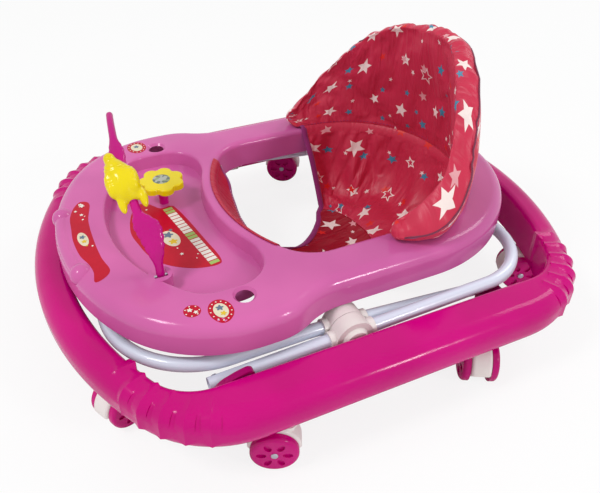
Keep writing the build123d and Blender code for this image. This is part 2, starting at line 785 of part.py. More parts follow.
# post pushed up through the recess floor, with its flange underneath
dial_under = recess_floor + dial_lift
pan_under = recess_floor - tray_skin
with BuildPart() as dial_post:
    with BuildSketch(Plane.XY.offset(pan_under)):
        with Locations(dial_place):
            Circle(dial_post_radius + dial_flange)
    extrude(amount=-dial_flange_height)
    with BuildSketch(Plane.XY.offset(pan_under)):
        with Locations(dial_place):
            Circle(dial_post_radius)
    extrude(amount=tray_skin + dial_lift - dial_gap)
    with BuildSketch(Plane.XY.offset(pan_under)):
        with Locations(dial_place):
            Circle(dial_spindle)
    extrude(amount=tray_skin + dial_lift + dial_height - 3)
finish(dial_post.part, "dial_post")

with BuildPart() as dial:
    with BuildSketch(Plane.XY.offset(dial_under)) as petals:
        with Locations(dial_place):
            Circle(dial_radius - dial_petal_radius)
            with PolarLocations(dial_radius - dial_petal_radius, dial_petals):
                Circle(dial_petal_radius)
        creases = petals.vertices().filter_by(
            lambda v: hypot(v.X - dial_place[0], v.Y - dial_place[1]) > dial_radius - dial_petal_radius + 1
        )
        fillet(creases, 3)
    extrude(amount=dial_height)
    fillet(dial.faces().sort_by(Axis.Z)[-1].outer_wire().edges(), 2.2)
    with BuildSketch(Plane.XY.offset(dial_under + dial_height)):
        with Locations(dial_place):
            Circle(insert_radius)
    extrude(amount=-insert_height, mode=Mode.SUBTRACT)
    with BuildSketch(Plane.XY.offset(dial_under)):
        with Locations(dial_place):
            Circle(dial_spindle + running_clearance)
    extrude(amount=dial_height - 2.4, mode=Mode.SUBTRACT)
finish(dial.part, "flower_dial")

with BuildPart() as insert:
    with BuildSketch(Plane.XY.offset(dial_under + dial_height - insert_height)):
        with Locations(dial_place):
            Circle(insert_radius)
    extrude(amount=insert_height + 0.4)
    fillet(insert.faces().sort_by(Axis.Z)[-1].edges(), 0.5)
finish(insert.part, "dial_insert")

# toy bar, drawn closed over both sockets and raised about its near foot
lean = radians(bar_lean)
bar_plane = Plane(origin=bar_foot, x_dir=(-1, 0, 0), z_dir=(0, cos(lean), sin(lean)))
arch_radius = (bar_span**2 / 4 + bar_rise**2) / (2 * bar_rise)
arch_centre = (bar_span / 2, bar_rise - arch_radius)
rod_plane = Plane(
    origin=bar_plane.from_local_coords((bar_span / 2, bar_rise, 0)),
    x_dir=bar_plane.y_dir,
    z_dir=bar_plane.x_dir,
)
raised = Location(bar_foot) * Location((0, 0, 0), (0, bar_lift, 0)) * Location(bar_foot).inverse()
with BuildPart() as toy_bar:
    with BuildSketch(bar_plane):
        # slim arch
        with Locations(arch_centre):
            Circle(arch_radius + bar_width / 2)
            Circle(arch_radius - bar_width / 2, mode=Mode.SUBTRACT)
        with Locations((bar_span / 2, bar_rise)):
            Rectangle(bar_span, 2 * bar_rise + 3, mode=Mode.INTERSECT)
        Circle(bar_thickness / 2)
        with Locations((bar_span, -tip_length / 2)):
            Rectangle(tip_width, tip_length + 6)
    extrude(amount=bar_thickness / 2, both=True)
    # leaf on each leg
    with BuildSketch(bar_plane):
        for place, tilt in ((leaf_place, leaf_tilt), (bar_span - leaf_place, -leaf_tilt)):
            rise = arch_centre[1] + sqrt(arch_radius**2 - (place - bar_span / 2) ** 2)
            with Locations(Location((place, rise, 0), (0, 0, tilt))):
                Ellipse(leaf_length / 2, leaf_width / 2)
    extrude(amount=leaf_thickness / 2, both=True)
    # rod for the animal
    with BuildSketch(bar_plane):
        with Locations((bar_span / 2, bar_rise)):
            Rectangle(rod_length, 4 * bar_width)
    extrude(amount=bar_thickness, both=True, mode=Mode.SUBTRACT)
    with BuildSketch(rod_plane):
        Circle(rod_radius)
    extrude(amount=rod_length / 2 + 6, both=True)
    with BuildSketch(Plane(origin=bar_foot, x_dir=(1, 0, 0), z_dir=(0, 1, 0))):
        Circle(bar_pin_radius + running_clearance)
    extrude(amount=2 * bar_thickness, both=True, mode=Mode.SUBTRACT)
finish(raised * toy_bar.part, "toy_bar")

# animal: round body on the rod, head with two ears, and four limbs
with BuildPart() as limb:
    with BuildSketch(Plane.XZ):
        Ellipse(limb_radius, limb_length / 2)
        with Locations((-limb_radius, 0)):
            Rectangle(2 * limb_radius, 2 * limb_length, mode=Mode.SUBTRACT)
    revolve(axis=Axis.Z)

with BuildPart() as body:
    with BuildSketch(Plane.XZ):
        Ellipse(body_radius, body_length / 2)
        with Locations((-body_radius, 0)):
            Rectangle(2 * body_radius, 2 * body_length, mode=Mode.SUBTRACT)
    revolve(axis=Axis.Z)
    with Locations((5, -3, 5)):
        Sphere(head_radius)
    with Locations((9, -17, 12), (9, 15, 12)):
        Sphere(ear_radius)
    with Locations(
        Location((4, -17, -7), (-35, 0, 0)),
        Location((4, 17, -7), (35, 0, 0)),
        Location((-15, -8, -6), (0, 25, 0)),
        Location((-15, 8, -6), (0, 25, 0)),
    ):
        add(limb.part)
    Cylinder(rod_radius + running_clearance, 3 * body_length, mode=Mode.SUBTRACT)
finish(raised * rod_plane.location * body.part, "toy_animal")

# ---- seat ----

hem_z = tray_top_z - 2
sling_bottom = hem_z - sling_depth
sling_narrowing = sling_depth * tan(radians(sling_draft))
with BuildPart() as room:
    for z, inset in ((hem_z, sling_clearance), (sling_bottom, sling_clearance + sling_narrowing)):
        with BuildSketch(Plane.XY.offset(z)):
            add(opening_outline(-inset - sling_skin))
    loft()
    with Locations((0, 0, sling_bottom)):
        Box(4 * opening_half, 4 * opening_half, 2 * sling_skin, mode=Mode.SUBTRACT)

with BuildPart() as sling:
    for z, inset in ((hem_z, sling_clearance), (sling_bottom, sling_clearance + sling_narrowing)):
        with BuildSketch(Plane.XY.offset(z)):
            add(opening_outline(-inset))
    loft()
    add(room.part, mode=Mode.SUBTRACT)
    # leg holes: open to the rim beside the child, closed by a hem in front
    for side in (-1, 1):
        with BuildSketch(Plane.YZ.offset(side * strap_half)) as leg_hole:
            with BuildLine():
                Polyline(
                    (2 * opening_front_y, 0),
                    (2 * opening_front_y, leg_top),
                    (leg_front_y, leg_top),
                    (leg_front_y, 2 * hem_z),
                    (leg_rear_y, 2 * hem_z),
                    (leg_rear_y + leg_lean, leg_foot),
                    (leg_strap_y, 0),
                    close=True,
                )
            make_face()
            rounded = leg_hole.vertices().filter_by(
                lambda v: leg_foot - 1 < v.Z < leg_top + 1 and v.Y > leg_front_y - 1
            )
            fillet(rounded, leg_corner)
        extrude(amount=side * 2 * opening_half, mode=Mode.SUBTRACT)
finish(sling.part, "seat_sling")

# backrest: a band that leans in over the rear of the opening, its ends cut down to low wings
pad_foot = tray_top_z + pad_clearance
pad_inside = (
    (pad_foot, opening_half + 3, opening_half + 3),
    (pad_bulge_z, pad_half - pad_thickness, 128),
    (pad_top, 104, 95),
)
pad_outside = ((pad_foot, 172, 156), (pad_bulge_z, pad_half, 150), (pad_top, 130, 124))
with BuildPart() as pad_room:
    for z, reach_x, reach_y in pad_inside:
        with BuildSketch(Plane.XY.offset(z)):
            with Locations((0, opening_centre)):
                Ellipse(reach_x, reach_y)
    loft()

with BuildPart() as back_pad:
    for z, reach_x, reach_y in pad_outside:
        with BuildSketch(Plane.XY.offset(z)):
            with Locations((0, opening_centre)):
                Ellipse(reach_x, reach_y)
    loft()
    add(pad_room.part, mode=Mode.SUBTRACT)
    with BuildSketch(Plane.YZ):
        with BuildLine():
            wing = Spline(
                (pad_front_y, wing_front_z),
                (92, 218),
                (130, 273),
                (pad_rear_y, pad_top),
                tangents=((0.2, 1), (1, 1.2)),
            )
            Polyline(
                wing @ 1,
                (pad_rear_y, 2 * pad_top),
                (-2 * pad_top, 2 * pad_top),
                (-2 * pad_top, 0),
                (pad_front_y, 0),
                wing @ 0,
            )
        make_face()
    extrude(amount=2 * pad_half, both=True, mode=Mode.SUBTRACT)
finish(back_pad.part, "back_pad")
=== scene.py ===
import json
import math
import random

import bmesh
import bpy
from mathutils import Matrix, Vector, noise
from mathutils.bvhtree import BVHTree
from mathutils.geometry import delaunay_2d_cdt


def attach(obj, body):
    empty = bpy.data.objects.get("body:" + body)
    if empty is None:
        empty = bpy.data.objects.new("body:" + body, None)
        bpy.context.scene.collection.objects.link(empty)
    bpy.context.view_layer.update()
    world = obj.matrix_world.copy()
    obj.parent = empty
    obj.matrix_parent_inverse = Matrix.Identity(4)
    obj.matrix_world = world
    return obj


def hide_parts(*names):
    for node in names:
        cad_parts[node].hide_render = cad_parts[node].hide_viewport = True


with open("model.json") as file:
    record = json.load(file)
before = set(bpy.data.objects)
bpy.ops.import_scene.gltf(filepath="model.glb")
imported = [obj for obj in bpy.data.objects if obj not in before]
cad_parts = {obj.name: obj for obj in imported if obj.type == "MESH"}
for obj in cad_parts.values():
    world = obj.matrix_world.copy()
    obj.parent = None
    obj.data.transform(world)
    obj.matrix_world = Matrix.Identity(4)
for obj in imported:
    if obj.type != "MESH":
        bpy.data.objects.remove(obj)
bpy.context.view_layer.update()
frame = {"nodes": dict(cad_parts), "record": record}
nodes = frame["nodes"]
print("frame loaded:", len(nodes), "nodes")


# small helpers

def linearColour(hexCode, alpha=1.0):
    channels = [int(hexCode[i:i + 2], 16) / 255 for i in (0, 2, 4)]
    linear = [c / 12.92 if c <= 0.04045 else ((c + 0.055) / 1.055) ** 2.4 for c in channels]
    return (*linear, alpha)


def addNode(tree, kind, settings=None, **inputs):
    # settings are the node's own properties; inputs are values or sockets, by name or by i0, i1...
    node = tree.nodes.new(kind)
    for key, value in (settings or {}).items():
        setattr(node, key, value)
    for key, value in inputs.items():
        index = int(key[1:]) if key[0] == "i" and key[1:].isdigit() else key.replace("_", " ")
        socket = node.inputs[index]
        if isinstance(value, bpy.types.NodeSocket):
            tree.links.new(value, socket)
        else:
            socket.default_value = value
    return node


def setInputs(node, **values):
    # values by input name, with _ for a space; a hex code is a colour
    for name, value in values.items():
        socket = node.inputs[name.replace("_", " ")]
        socket.default_value = linearColour(value) if isinstance(value, str) else value


def newMaterial(name):
    material = bpy.data.materials.new(name)
    material.use_nodes = True
    tree = material.node_tree
    shader = tree.nodes["Principled BSDF"]
    place = addNode(tree, "ShaderNodeTexCoord")
    return material, tree, shader, place


def meshObject(name, vertices, faces, material, smooth=True):
    mesh = bpy.data.meshes.new(name)
    mesh.from_pydata([tuple(v) for v in vertices], [], faces)
    mesh.update()
    piece = bpy.data.objects.new(name, mesh)
    bpy.context.scene.collection.objects.link(piece)
    mesh.materials.append(material)
    for polygon in mesh.polygons:
        polygon.use_smooth = smooth
    return piece


def outwardNormals(piece, mergeDistance=1e-5):
    shape = bmesh.new()
    shape.from_mesh(piece.data)
    bmesh.ops.remove_doubles(shape, verts=shape.verts, dist=mergeDistance)
    bmesh.ops.recalc_face_normals(shape, faces=shape.faces)
    shape.to_mesh(piece.data)
    shape.free()


def bakeModifiers(piece):
    # the shape that the modifiers make becomes the piece's own mesh
    made = bpy.data.meshes.new_from_object(piece.evaluated_get(bpy.context.evaluated_depsgraph_get()))
    piece.modifiers.clear()
    old = piece.data
    piece.data = made
    bpy.data.meshes.remove(old)
    return made


def sweepPiece(name, rings, material):
    # a skin over rings of points, with a cap on either end
    sides, count = len(rings[0]), len(rings)
    faces = []
    for i in range(count - 1):
        for k in range(sides):
            n = (k + 1) % sides
            faces.append((i * sides + k, i * sides + n, (i + 1) * sides + n, (i + 1) * sides + k))
    faces.append(tuple(range(sides - 1, -1, -1)))
    faces.append(tuple(range((count - 1) * sides, count * sides)))
    piece = meshObject(name, [point for ring in rings for point in ring], faces, material)
    outwardNormals(piece)
    return piece


def fasten(piece, body, recordSlot):
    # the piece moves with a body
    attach(piece, body)


def clamp(value):
    return min(1, max(0, value))


def ease(t):
    return t * t * (3 - 2 * t)


def smoothCopy(nodeName, pieceName, body, material, recordSlot, angle=30):
    # a merged, smooth-shaded copy that stands for the node of the same shape
    mesh = nodes[nodeName].data.copy()
    piece = bpy.data.objects.new(pieceName, mesh)
    bpy.context.scene.collection.objects.link(piece)
    mesh.materials.clear()
    mesh.materials.append(material)
    shape = bmesh.new()
    shape.from_mesh(mesh)
    bmesh.ops.remove_doubles(shape, verts=shape.verts, dist=1e-5)
    bmesh.ops.dissolve_degenerate(shape, edges=shape.edges, dist=1e-6)
    limit = math.radians(angle)
    for face in shape.faces:
        face.smooth = True
    for edge in shape.edges:
        edge.smooth = len(edge.link_faces) == 2 and edge.calc_face_angle(0) < limit
    shape.to_mesh(mesh)
    shape.free()
    fasten(piece, body, recordSlot)
    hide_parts(nodeName)


# camera, light and floor

view = {
    "place": (0.654, -0.3166, 0.621),
    "azimuth": 63.9,        # degrees from +Y towards -X
    "tilt": 37.8,           # looking down
    "roll": 1.1,
    "lens": 39.28,
}


def makeCamera():
    azimuth, tilt, roll = (math.radians(view[k]) for k in ("azimuth", "tilt", "roll"))
    forward = Vector((-math.sin(azimuth) * math.cos(tilt),
                      math.cos(azimuth) * math.cos(tilt), -math.sin(tilt)))
    level = Vector((math.cos(azimuth), math.sin(azimuth), 0))
    over = level.cross(forward)
    right = level * math.cos(roll) + over * math.sin(roll)
    over = right.cross(forward)
    data = bpy.data.cameras.new("camera")
    data.sensor_width = 36
    data.lens = view["lens"]
    camera = bpy.data.objects.new("camera", data)
    bpy.context.scene.collection.objects.link(camera)
    turn = Matrix((right, over, -forward)).transposed().to_4x4()
    camera.matrix_world = Matrix.Translation(view["place"]) @ turn
    bpy.context.scene.camera = camera


makeCamera()

studio = {
    "worldLevel": 0.6,
    "key": {"place": (0.25, -1.5, 2.1), "aim": (0.0, 0.0, 0.1), "size": 0.5, "power": 22},
    "fill": {"place": (1.9, 0.95, 1.15), "aim": (0.0, 0.0, 0.1), "size": 0.28, "power": 11},
    "rear": {"place": (-0.3, 2.2, 2.2), "aim": (0.0, 0.0, 0.1), "size": 0.9, "power": 14},
    "floorSize": 12.0,
    "floorGlow": 0.84,      # how much of the floor's own white the camera sees
}


def makeStudio():
    world = bpy.data.worlds.new("studio")
    bpy.context.scene.world = world
    world.use_nodes = True
    tree = world.node_tree
    tree.nodes.clear()
    rays = addNode(tree, "ShaderNodeLightPath")
    seen = addNode(tree, "ShaderNodeMath", {"operation": "MAXIMUM"},
                   i0=rays.outputs["Is Camera Ray"], i1=rays.outputs["Is Transmission Ray"])
    seen = addNode(tree, "ShaderNodeMath", {"operation": "MAXIMUM"},
                   i0=seen.outputs[0], i1=rays.outputs["Is Glossy Ray"])
    plain, white = (addNode(tree, "ShaderNodeBackground", Color=linearColour("FFFFFF"), Strength=level)
                    for level in (studio["worldLevel"], 1.0))
    mixed = addNode(tree, "ShaderNodeMixShader",
                    i0=seen.outputs[0], i1=plain.outputs[0], i2=white.outputs[0])
    addNode(tree, "ShaderNodeOutputWorld", Surface=mixed.outputs[0])
    for name in ("key", "fill", "rear"):
        lamp = studio[name]
        data = bpy.data.lights.new(name, "AREA")
        data.size = lamp["size"]
        data.energy = lamp["power"]
        light = bpy.data.objects.new(name, data)
        bpy.context.scene.collection.objects.link(light)
        light.location = lamp["place"]
        aim = Vector(lamp["aim"]) - Vector(lamp["place"])
        light.rotation_euler = aim.to_track_quat("-Z", "Y").to_euler()
    # pale floor: white where it is lit, with the object's shadow left in
    material, tree, shader, place = newMaterial("paleFloor")
    setInputs(shader, Base_Color="F4F4F4", Roughness=0.9)
    rays = addNode(tree, "ShaderNodeLightPath")
    share = addNode(tree, "ShaderNodeMath", {"operation": "MULTIPLY"},
                    i0=rays.outputs["Is Camera Ray"], i1=studio["floorGlow"])
    glow = addNode(tree, "ShaderNodeEmission", Strength=1.0)
    mixed = addNode(tree, "ShaderNodeMixShader",
                    i0=share.outputs[0], i1=shader.outputs[0], i2=glow.outputs[0])
    tree.links.new(mixed.outputs[0], tree.nodes["Material Output"].inputs["Surface"])
    half = studio["floorSize"] / 2
    floor = meshObject("floor", [(-half, -half, 0), (half, -half, 0), (half, half, 0), (-half, half, 0)],
                       [(0, 1, 2, 3)], material, smooth=False)


makeStudio()
bpy.context.scene.view_settings.view_transform = "Standard"
print("studio ready")


# materials

def mouldedPlastic(name, colour, deep, roughness, waviness=0.0, waveSize=0.04, coat=0.0, gloss=0.3,
                   grain=0.00025):
    # coloured plastic: clean gloss, faint drift in the pigment, skin with a slow waviness
    material, tree, shader, place = newMaterial(name)
    drift = addNode(tree, "ShaderNodeTexNoise", Vector=place.outputs["Object"], Scale=9.0, Detail=2.0)
    ramp = addNode(tree, "ShaderNodeValToRGB", i0=drift.outputs[0])
    ramp.color_ramp.elements[0].position = 0.35
    ramp.color_ramp.elements[0].color = linearColour(deep)
    ramp.color_ramp.elements[1].position = 0.65
    ramp.color_ramp.elements[1].color = linearColour(colour)
    tree.links.new(ramp.outputs[0], shader.inputs["Base Color"])
    handled = addNode(tree, "ShaderNodeTexNoise", Vector=place.outputs["Object"], Scale=35.0, Detail=4.0)
    spread = addNode(tree, "ShaderNodeMapRange", Value=handled.outputs[0], i1=0.3, i2=0.7,
                     i3=roughness * 0.85, i4=roughness * 1.2)
    tree.links.new(spread.outputs[0], shader.inputs["Roughness"])
    fine = addNode(tree, "ShaderNodeTexNoise", Vector=place.outputs["Object"], Scale=900.0, Detail=2.0)
    bump = addNode(tree, "ShaderNodeBump", Strength=0.05, Distance=grain, Height=fine.outputs[0])
    if waviness:
        slow = addNode(tree, "ShaderNodeTexNoise", Vector=place.outputs["Object"],
                       Scale=1 / waveSize, Detail=1.0)
        bump = addNode(tree, "ShaderNodeBump", Strength=1.0, Distance=waviness,
                       Height=slow.outputs[0], Normal=bump.outputs[0])
    tree.links.new(bump.outputs[0], shader.inputs["Normal"])
    setInputs(shader, IOR=1.5, Specular_IOR_Level=gloss, Coat_Weight=coat, Coat_Roughness=0.12)
    return material


ringPlastic = mouldedPlastic("blowMouldedPolythene", "CB007C", "BE0072", 0.15, 0.0009, 0.05, gloss=0.16)
trayPlastic = mouldedPlastic("mouldedPolypropylene", "D266A8", "C65C9E", 0.16, 0.0005, 0.06,
                             gloss=0.24, coat=0.06)
barPlastic = mouldedPlastic("clearMagentaAbs", "D2008C", "B80078", 0.12, gloss=0.2, coat=0.12)
yellowPlastic = mouldedPlastic("yellowAbs", "EFDA00", "DCC400", 0.16, gloss=0.24, coat=0.12)
creamPlastic = mouldedPlastic("ivoryPolypropylene", "EDE7E4", "E2DAD6", 0.32)
wheelPlastic = mouldedPlastic("magentaPolypropylene", "C8007A", "B4006A", 0.2, gloss=0.2)
socketPlastic = mouldedPlastic("magentaSocketPlastic", "A80066", "98005A", 0.3, gloss=0.2)


def powderCoat():
    # pale lavender-white powder coat on steel tube, with a faint orange peel
    material, tree, shader, place = newMaterial("powderCoatedTube")
    setInputs(shader, Base_Color="D9E0F0", Roughness=0.26, Coat_Weight=0.3)
    peel = addNode(tree, "ShaderNodeTexNoise", Vector=place.outputs["Object"], Scale=420.0, Detail=1.0)
    bump = addNode(tree, "ShaderNodeBump", Strength=0.25, Distance=0.0003, Height=peel.outputs[0])
    tree.links.new(bump.outputs[0], shader.inputs["Normal"])
    return material


def zincSteel():
    # zinc-plated steel: bright, a little cloudy
    material, tree, shader, place = newMaterial("zincPlatedSteel")
    setInputs(shader, Base_Color="B9BBC4", Metallic=1.0)
    cloud = addNode(tree, "ShaderNodeTexNoise", Vector=place.outputs["Object"], Scale=300.0, Detail=3.0)
    spread = addNode(tree, "ShaderNodeMapRange", Value=cloud.outputs[0], i3=0.25, i4=0.5)
    tree.links.new(spread.outputs[0], shader.inputs["Roughness"])
    return material


def dialPrint():
    # printed card under the dial's clear face: grey-green shapes on a pale ground
    material, tree, shader, place = newMaterial("dialPrint")
    shapes = addNode(tree, "ShaderNodeTexVoronoi", Vector=place.outputs["Object"], Scale=210.0)
    ramp = addNode(tree, "ShaderNodeValToRGB", i0=shapes.outputs["Color"])
    ramp.color_ramp.interpolation = "CONSTANT"
    for position, ink in ((0.35, "8A9A70"), (0.6, "A8ADA0"), (0.82, "6E5A66")):
        ramp.color_ramp.elements.new(position).color = linearColour(ink)
    ramp.color_ramp.elements[0].color = linearColour("59655A")
    ramp.color_ramp.elements[-1].color = linearColour("C9CDBE")
    tree.links.new(ramp.outputs[0], shader.inputs["Base Color"])
    setInputs(shader, Roughness=0.2, Coat_Weight=0.3)
    return material


framePaint = powderCoat()
steel = zincSteel()
dialCard = dialPrint()

# cloth

def starPrint():
    # one layer of scattered five-point stars; the vector comes in metres of flat cloth
    group = bpy.data.node_groups.new("scatteredStars", "ShaderNodeTree")
    face = group.interface
    face.new_socket("Vector", in_out="INPUT", socket_type="NodeSocketVector")
    for name, value in (("Spacing", 0.045), ("Smallest", 0.006), ("Largest", 0.01), ("Seed", 0.0)):
        socket = face.new_socket(name, in_out="INPUT", socket_type="NodeSocketFloat")
        socket.default_value = value
    face.new_socket("Mask", in_out="OUTPUT", socket_type="NodeSocketFloat")
    face.new_socket("Pick", in_out="OUTPUT", socket_type="NodeSocketFloat")
    given = addNode(group, "NodeGroupInput").outputs

    def calc(operation, a, b=0.0, c=0.0):
        return addNode(group, "ShaderNodeMath", {"operation": operation}, i0=a, i1=b, i2=c).outputs[0]

    shift = addNode(group, "ShaderNodeCombineXYZ", X=given["Seed"], Y=calc("MULTIPLY", given["Seed"], 1.7))
    scaled = addNode(group, "ShaderNodeVectorMath", {"operation": "SCALE"},
                     i0=given["Vector"], Scale=calc("DIVIDE", 1.0, given["Spacing"]))
    moved = addNode(group, "ShaderNodeVectorMath", {"operation": "ADD"},
                    i0=scaled.outputs[0], i1=shift.outputs[0])
    cell = addNode(group, "ShaderNodeVectorMath", {"operation": "FLOOR"}, i0=moved.outputs[0])
    dice = addNode(group, "ShaderNodeTexWhiteNoise", {"noise_dimensions": "2D"}, Vector=cell.outputs[0])
    luck = addNode(group, "ShaderNodeSeparateColor", i0=dice.outputs["Color"])
    inside = addNode(group, "ShaderNodeVectorMath", {"operation": "FRACTION"}, i0=moved.outputs[0])
    place = addNode(group, "ShaderNodeSeparateXYZ", i0=inside.outputs[0])
    across = calc("SUBTRACT", place.outputs[0], calc("MULTIPLY_ADD", luck.outputs[0], 0.4, 0.3))
    along = calc("SUBTRACT", place.outputs[1], calc("MULTIPLY_ADD", luck.outputs[1], 0.4, 0.3))
    across = calc("MULTIPLY", across, given["Spacing"])
    along = calc("MULTIPLY", along, given["Spacing"])
    reach = calc("SQRT", calc("ADD", calc("MULTIPLY", across, across), calc("MULTIPLY", along, along)))
    fifth = 2 * math.pi / 5
    turned = calc("ADD", calc("ARCTAN2", along, across), calc("MULTIPLY", luck.outputs[2], 6.3))
    fold = calc("ABSOLUTE", calc("SUBTRACT", calc("FLOORED_MODULO", turned, fifth), fifth / 2))
    size = calc("ADD", given["Smallest"],
                calc("MULTIPLY", dice.outputs["Value"],
                     calc("SUBTRACT", given["Largest"], given["Smallest"])))
    inner = 0.45            # notch radius to point radius
    sine, cosine = inner * math.sin(math.pi / 5), 1 - inner * math.cos(math.pi / 5)
    length = math.hypot(sine, cosine)
    outward = calc("SUBTRACT", calc("MULTIPLY", calc("COSINE", fold), reach), size)
    sideways = calc("MULTIPLY", calc("SINE", fold), reach)
    gap = calc("ADD", calc("MULTIPLY", outward, sine / length), calc("MULTIPLY", sideways, cosine / length))
    result = addNode(group, "NodeGroupOutput")
    group.links.new(gap, result.inputs["Mask"])
    group.links.new(calc("FRACT", calc("MULTIPLY", dice.outputs["Value"], 7.3)), result.inputs["Pick"])
    return group


scatteredStars = starPrint()


def coatedCloth(name, starred=True, colour="CE3352", deep="C02344"):
    # printed polyester taffeta with a thin coating: satin sheen, crisp small wrinkles, stars in flat ink
    material, tree, shader, place = newMaterial(name)
    surface = addNode(tree, "ShaderNodeUVMap", {"uv_map": "flatCloth"})

    def calc(operation, a, b=0.0):
        return addNode(tree, "ShaderNodeMath", {"operation": operation}, i0=a, i1=b).outputs[0]

    def over(under, ink, mask):
        mixed = addNode(tree, "ShaderNodeMix", {"data_type": "RGBA"}, i0=mask, i6=under, i7=ink)
        return mixed.outputs[2]

    drift = addNode(tree, "ShaderNodeTexNoise", Vector=place.outputs["Object"], Scale=14.0, Detail=3.0)
    dyed = addNode(tree, "ShaderNodeMix", {"data_type": "RGBA"}, i0=drift.outputs[0],
                   i6=linearColour(deep), i7=linearColour(colour)).outputs[2]
    if starred:
        edge = 2500.0       # ink edge softness, per metre
        outline = 0.0016    # width of a hollow star's outline, metres
        hollowFrom = 0.66   # stars whose pick is over this are hollow
        layers = (          # spacing, smallest and largest radius, seed, then ink by pick
            (0.060, 0.0090, 0.0140, 3.1, (("F4E4DF", 0.0), ("F4E4DF", 0.6), ("EBC9C8", 0.85)), "mixed"),
            (0.047, 0.0052, 0.0082, 11.4, (("3F86A4", 0.0), ("DC2420", 0.42), ("E2A0A6", 0.74)), "plain"),
            (0.061, 0.0028, 0.0046, 23.8, (("F0DCD9", 0.0), ("4C8AA6", 0.6), ("F0DCD9", 0.8)), "plain"),
        )
        for spacing, smallest, largest, seed, inks, style in layers:
            stars = addNode(tree, "ShaderNodeGroup", {"node_tree": scatteredStars},
                            Vector=surface.outputs[0], Spacing=spacing, Smallest=smallest,
                            Largest=largest, Seed=seed)
            gap, pick = stars.outputs["Mask"], stars.outputs["Pick"]
            mask = addNode(tree, "ShaderNodeMath", {"operation": "MULTIPLY_ADD", "use_clamp": True},
                           i0=gap, i1=-edge, i2=0.5).outputs[0]
            if style == "mixed":
                hollow = addNode(tree, "ShaderNodeMath", {"operation": "MULTIPLY_ADD", "use_clamp": True},
                                 i0=gap, i1=-edge, i2=0.5 - edge * outline).outputs[0]
                hollow = calc("MULTIPLY", hollow, calc("GREATER_THAN", pick, hollowFrom))
                mask = calc("SUBTRACT", mask, hollow)
            ramp = addNode(tree, "ShaderNodeValToRGB", i0=pick)
            ramp.color_ramp.interpolation = "CONSTANT"
            while len(ramp.color_ramp.elements) < len(inks):
                ramp.color_ramp.elements.new(0.5)
            for element, (ink, start) in zip(ramp.color_ramp.elements, inks):
                element.position = start
                element.color = linearColour(ink)
            dyed = over(dyed, ramp.outputs[0], mask)
    tree.links.new(dyed, shader.inputs["Base Color"])
    setInputs(shader, Roughness=0.4, Sheen_Weight=0.18, Sheen_Roughness=0.4, Sheen_Tint="FF8FA8",
              Specular_IOR_Level=0.32)
    # yarns drawn at 0.9 mm, about four real ones, so that they show at all
    weave = addNode(tree, "ShaderNodeTexChecker", Vector=surface.outputs[0], Scale=1 / 0.0009)
    # creases run down the cloth, a little aslant, with sharp ridges
    drawn = addNode(tree, "ShaderNodeMapping", Vector=surface.outputs[0],
                    Rotation=(0, 0, 0.3), Scale=(62, 15, 1))
    crumple = addNode(tree, "ShaderNodeTexNoise", Vector=drawn.outputs[0], Scale=1.0, Detail=2.5)
    crumple.inputs["Distortion"].default_value = 0.7
    ridge = calc("ABSOLUTE", calc("SUBTRACT", crumple.outputs[0], 0.5))
    bump = addNode(tree, "ShaderNodeBump", Strength=0.12, Distance=0.0002, Height=weave.outputs[1])
    bump = addNode(tree, "ShaderNodeBump", Strength=0.75, Distance=-0.0052,
                   Height=ridge, Normal=bump.outputs[0])
    tree.links.new(bump.outputs[0], shader.inputs["Normal"])
    return material


seatCloth = coatedCloth("starPrintedTaffeta")
# a darker copy of the star-printed cloth: painted shade for the sling's bottom, deep in the seat where little
# light reaches
paintedShadeCloth = coatedCloth("paintedShadeStarTaffeta", colour="A60A28", deep="86061C")
hemCloth = coatedCloth("crimsonTaffeta", starred=False, colour="C2183C", deep="A80E30")


def bindingTape(name="wovenBindingTape", colour="8A1068"):
    # woven polyester binding, folded over the cut edge; the same yarn for the stitches
    material, tree, shader, place = newMaterial(name)
    rib = addNode(tree, "ShaderNodeTexNoise", Vector=place.outputs["Object"], Scale=500.0, Detail=1.0)
    setInputs(shader, Base_Color=colour, Roughness=0.6, Sheen_Weight=0.3)
    bump = addNode(tree, "ShaderNodeBump", Strength=0.4, Distance=0.0003, Height=rib.outputs[0])
    tree.links.new(bump.outputs[0], shader.inputs["Normal"])
    return material


tape = bindingTape()


def throughRows(rows, x):
    # smooth curve through rows of (x, values...), as a list of values
    rows = sorted(rows)
    if x <= rows[0][0]:
        return list(rows[0][1:])
    if x >= rows[-1][0]:
        return list(rows[-1][1:])
    i = max(k for k in range(len(rows) - 1) if rows[k][0] <= x)
    a, b = rows[i], rows[i + 1]
    before, after = rows[max(i - 1, 0)], rows[min(i + 2, len(rows) - 1)]
    width = b[0] - a[0]
    t = (x - a[0]) / width
    values = []
    for k in range(1, len(a)):
        slopeA = (b[k] - before[k]) / (b[0] - before[0]) * width
        slopeB = (after[k] - a[k]) / (after[0] - a[0]) * width
        values.append((2 * t**3 - 3 * t**2 + 1) * a[k] + (t**3 - 2 * t**2 + t) * slopeA
                      + (3 * t**2 - 2 * t**3) * b[k] + (t**3 - t**2) * slopeB)
    return values


def flatMap(piece, coordinates):
    # the place of every vertex on the flat cloth, in metres, kept as the piece's UV map
    layer = piece.data.uv_layers.new(name="flatCloth")
    for loop in piece.data.loops:
        layer.data[loop.index].uv = coordinates[loop.vertex_index]


def gridPiece(name, rows, columns, pointAt, flatAt, material, closed=False):
    # a grid of points; with closed the columns run round into a tube
    vertices = [pointAt(i, j) for i in range(rows) for j in range(columns)]
    flat = [flatAt(i, j) for i in range(rows) for j in range(columns)]
    faces = []
    for i in range(rows - 1):
        for j in range(columns if closed else columns - 1):
            k = (j + 1) % columns
            faces.append((i * columns + j, i * columns + k, (i + 1) * columns + k, (i + 1) * columns + j))
    piece = meshObject(name, vertices, faces, material)
    flatMap(piece, flat)
    return piece


